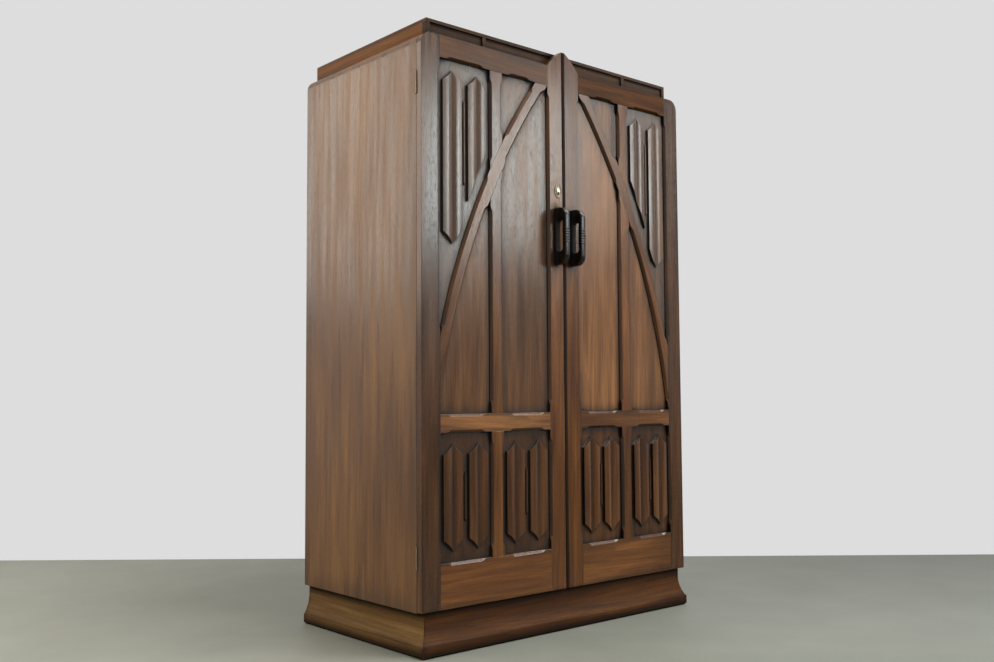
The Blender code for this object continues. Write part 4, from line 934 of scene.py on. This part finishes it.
# %% [markdown]
# ## Screws: lock, bolt, rail and handles
# The other fittings have two or four screws each. Their places follow from the fitting's own box,
# so they stay right if the drawing changes. The narrow bolt plate takes smaller screws, and each
# handle is held from the inside of its door by two big ones.

# %% Drive the other screws
LOCK_END, LOCK_OUT = 0.007, 0.0001
BOLT_SIDE, BOLT_END, BOLT_PLATE, BOLT_OUT, BOLT_SIZE = 0.0026, 0.033, 0.003, 0.0002, 0.85
SOCKET_OFF, SOCKET_OUT = 0.0115, 0.0002
HANDLE_END, HANDLE_OUT, HANDLE_SIZE = 0.022, 0.0004, 1.7

low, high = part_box("lock_case")
count = drive("lock_screws", "door_left", steel, [
    Vector((high.x + LOCK_OUT, (low.y + high.y) / 2, z)) for z in (low.z + LOCK_END, high.z - LOCK_END)
], (1, 0, 0))
low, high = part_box("bolt_plate")
count += drive("bolt_plate_screws", "door_right", steel, [
    Vector((x, low.y + BOLT_PLATE + BOLT_OUT, z)) for x in (low.x + BOLT_SIDE, high.x - BOLT_SIDE)
    for z in (low.z + BOLT_END, high.z - BOLT_END)
], (0, 1, 0), BOLT_SIZE)
for end, side in (("left", 1), ("right", -1)):
    low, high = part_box(f"rail_socket_{end}")
    face = high.x if side > 0 else low.x
    middle = (low + high) / 2
    count += drive(f"{end}_socket_screws", "carcass", steel, [
        Vector((face + side * SOCKET_OUT, middle.y + off, middle.z + off))
        for off in (-SOCKET_OFF, SOCKET_OFF)
    ], (side, 0, 0))
for door in ("left", "right"):
    low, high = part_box(f"{door}_handle")
    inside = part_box(f"{door}_meeting_stile")[1].y + HANDLE_OUT
    count += drive(f"{door}_handle_screws", f"door_{door}", steel, [
        Vector(((low.x + high.x) / 2, inside, z)) for z in (low.z + HANDLE_END, high.z - HANDLE_END)
    ], (0, 1, 0), HANDLE_SIZE)
bpy.data.objects.remove(head)
print("other screws:", count)

# %% [markdown]
# ## The back: boards
# The drawing has the back as one sheet. Such backs were put up from narrow boards with
# chamfered edges, so that a joint that opens in a dry winter looks like part of the pattern. One
# board is a block with its four long edges bevelled, and the rest are copies. They are a little
# thinner than the drawing says, which leaves room for the nail heads inside its outline.

# %% Boards of the back
NAIL_OUT = 0.0006
CHAMFER, LAP = 0.0022, 0.0002       # boards lap a little, so that they can be united
low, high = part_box("back_panel")
board = new_block("back_boards", low, (low.x + plank + LAP, high.y - NAIL_OUT, high.z))
select_edges(board, lambda a, b: abs(a.z - b.z) > NEAR_ZERO)
bpy.ops.mesh.bevel(offset=CHAMFER, segments=1, affect="EDGES")
bpy.ops.object.mode_set(mode="OBJECT")
for made in copy_to(board, [Matrix.Translation((number * plank, 0, 0)) for number in range(1, BACK_BOARDS)]):
    combine(board, "UNION", made)
board.data.materials.append(boards["back_panel"].data.materials[0])
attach(board, "carcass")
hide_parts("back_panel")
print("back boards:", BACK_BOARDS, "of", round(plank * 1000), "mm")

# %% [markdown]
# ## The back: nails
# Each board has a nail at either side of its top, middle and bottom. Forty-two spots of colour
# would do from afar, but a head that stands out catches the light. One head is a short rod with a
# bevelled rim, of few faces, because it is copied so often.

# %% Nails of the back
NAIL, NAIL_DEEP, NAIL_SOFT = 0.0021, 0.0012, 0.0004
NAIL_FROM_EDGE, NAIL_SUNK = 0.022, 0.0001
bpy.ops.object.select_all(action="DESELECT")
bpy.ops.mesh.primitive_cylinder_add(
    vertices=14, radius=NAIL, depth=NAIL_DEEP, rotation=(-math.pi / 2, 0, 0),
    location=(low.x + NAIL_FROM_EDGE, high.y - NAIL_DEEP / 2 - NAIL_SUNK, low.z + NAIL_FROM_EDGE),
)
nail = start_piece("back_nails")
soften(NAIL_SOFT, 2, 40)
nail.data.materials.append(steel)
levels = (0, (high.z - low.z) / 2 - NAIL_FROM_EDGE, high.z - low.z - 2 * NAIL_FROM_EDGE)
moves = [Matrix.Translation((number * plank + shift, 0, rise)) for number in range(BACK_BOARDS)
         for shift in (0, plank - 2 * NAIL_FROM_EDGE) for rise in levels]
join(nail, copy_to(nail, moves[1:]))
smooth(nail, 35)
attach(nail, "carcass")
print("nails:", len(moves))

# %% [markdown]
# ## The studio: floor
# A plain concrete floor carries the wardrobe and its shadow. The real one is about as light on
# all sides, while the lamps make this one lighter to the right and behind. Moving the lamps would
# change the sheen on the doors, so painted shade darkens the floor's colour there instead, along
# two fixed directions.

# %% Floor
FLOOR_HALF = 14.0
FLOOR_CLOUDS = 3.0                  # clouds of about a third of a metre
# Painted shade and light on the floor: lighter to the left, darker to the right and far off.
FLOOR_SHADING_LEFT, FLOOR_SHADING_RIGHT = (-1.9, 1.16), (1.8, 0.66)       # place across, and tone there
FLOOR_SHADING_NEAR, FLOOR_SHADING_FAR = (-0.2, 1.03), (1.2, 0.70)         # place ahead, and tone there
bpy.ops.object.select_all(action="DESELECT")
bpy.ops.mesh.primitive_plane_add(size=2 * FLOOR_HALF, location=(0, 0, 0))
floor = bpy.context.object
floor.name = "floor"

# Concrete, trowelled and worn: pale grey with a hint of green, faint clouds, painted shade to the right and
# far off, and hardly any shine.
concrete, tree = new_material("pale_concrete")
place = add(tree, "TexCoord").outputs["Object"]
clouds = add(tree, "TexNoise", {"Scale": FLOOR_CLOUDS, "Detail": 6.0, "Roughness": 0.6},
             {"Vector": place}).outputs["Fac"]
shade = add(tree, "ValToRGB", {}, {"Fac": clouds})
shade.color_ramp.elements[0].color = linear("#70746d")
shade.color_ramp.elements[1].color = linear("#888c84")
colour = shade.outputs["Color"]
# The floor's colour is scaled along each direction: painted shade.
for direction, start, end in ((level, FLOOR_SHADING_LEFT, FLOOR_SHADING_RIGHT), (ahead, FLOOR_SHADING_NEAR, FLOOR_SHADING_FAR)):
    along = add(tree, "VectorMath", {"operation": "DOT_PRODUCT", 1: direction},
                {0: place}).outputs["Value"]
    tone = add(tree, "MapRange", {
        "From Min": start[0], "From Max": end[0], "To Min": start[1], "To Max": end[1],
    }, {"Value": along}).outputs["Result"]
    colour = add(tree, "VectorMath", {"operation": "SCALE"}, {0: colour, "Scale": tone}).outputs["Vector"]
face = add(tree, "BsdfPrincipled", {"Roughness": 0.6}, {"Base Color": colour})
add(tree, "OutputMaterial", {}, {"Surface": face.outputs["BSDF"]})
floor.data.materials.append(concrete)
print("floor of", 2 * FLOOR_HALF, "m")

# %% [markdown]
# ## The studio: wall and room
# A pale wall stands behind, seen from its front only, so that it doesn't hide the wardrobe in
# views from behind. Lighting it until it is pale would light the wardrobe too. Instead, what the
# camera or a mirror sees of it shines by itself, and other light finds a matt surface. The
# world round the room works in the same way.

# %% Wall and room
WALL_AHEAD = 4.61
WALL_HALF, WALL_HEIGHT = 11.0, 6.0
PALE = "#dddddd"


def looked_at(tree):
    """One for rays from the camera, a mirror or a glass, and nought for the light's own."""
    rays = add(tree, "LightPath").outputs
    seen = rays["Is Camera Ray"]
    for ray in ("Is Glossy Ray", "Is Transmission Ray"):
        seen = add(tree, "Math", {"operation": "MAXIMUM"}, {0: seen, 1: rays[ray]}).outputs[0]
    return seen


foot = Vector((EYE.x, EYE.y, 0)) + WALL_AHEAD * ahead
bpy.ops.object.select_all(action="DESELECT")
bpy.ops.mesh.primitive_plane_add(size=2)
wall = bpy.context.object
wall.name = "wall"
wall.matrix_world = Matrix((
    (level.x * WALL_HALF, 0, -ahead.x, foot.x),
    (level.y * WALL_HALF, 0, -ahead.y, foot.y),
    (0, WALL_HEIGHT / 2, 0, WALL_HEIGHT / 2),
    (0, 0, 0, 1),
))

# Plaster, painted matt: one even pale grey, with nothing on it to catch the eye.
plaster, tree = new_material("pale_plaster")
plain = add(tree, "Emission", {"Color": linear(PALE), "Strength": 1.0})
matt = add(tree, "BsdfDiffuse", {"Color": linear("#d0d0d0")})
shown = add(tree, "MixShader", {},
            {0: looked_at(tree), 1: matt.outputs["BSDF"], 2: plain.outputs["Emission"]})
clear = add(tree, "BsdfTransparent")
behind = add(tree, "NewGeometry").outputs["Backfacing"]
both = add(tree, "MixShader", {}, {0: behind, 1: shown.outputs["Shader"], 2: clear.outputs["BSDF"]})
add(tree, "OutputMaterial", {}, {"Surface": both.outputs["Shader"]})
wall.data.materials.append(plaster)

room = bpy.data.worlds.new("room")
room.use_nodes = True
bpy.context.scene.world = room
tree = room.node_tree
tree.nodes.clear()
ambient = add(tree, "Background", {"Color": linear("#fff6ec"), "Strength": 0.38})
pale = add(tree, "Background", {"Color": linear(PALE), "Strength": 1.0})
mixed = add(tree, "MixShader", {}, {0: looked_at(tree), 1: ambient.outputs[0], 2: pale.outputs[0]})
add(tree, "OutputWorld", {}, {"Surface": mixed.outputs[0]})
print("wall", WALL_AHEAD, "m ahead of the camera")

# %% [markdown]
# ## The studio: lamps
# Old polish mirrors what stands above and beside it. A broad window to the right of the camera
# and a second one far to the left give the soft sheen on the upper half of both faces. Two large
# key lamps, high up, give the plain light, and a skylight fills in from the right. One sky would
# be less work, but the sheen needs windows with edges.

# %% Lamps
LAMPS = {        # place, aim, width and height in metres, watts, colour
    "window_right": ((2.15, -3.28, 2.27), (-0.3, -0.28, 1.40), 1.35, 1.05, 58, "#ecf6f5"),
    "window_left": ((-2.3, 2.3, 2.15), (-0.56, 0.0, 1.3), 1.8, 1.7, 31, "#fff1e0"),
    "skylight": ((2.6, -1.0, 3.6), (-0.2, -0.28, 0.5), 1.6, 1.6, 60, "#ffffff"),
    "key_front": ((1.4, -4.2, 8.6), (0.0, -0.28, 0.8), 4.0, 3.2, 690, "#fffaf2"),
    "key_side": ((-6.6, 2.0, 6.6), (-0.56, 0.0, 0.8), 3.6, 3.6, 330, "#fff6ea"),
}
for name, (place, aim, width, height, power, colour) in LAMPS.items():
    lamp = bpy.data.lights.new(name, "AREA")
    lamp.shape = "RECTANGLE"
    lamp.size, lamp.size_y = width, height
    lamp.energy = power
    lamp.color = linear(colour)[:3]
    holder = bpy.data.objects.new(name, lamp)
    holder.location = place
    holder.rotation_euler = (Vector(aim) - Vector(place)).to_track_quat("-Z", "Y").to_euler()
    bpy.context.scene.collection.objects.link(holder)
print("lamps:", len(LAMPS))
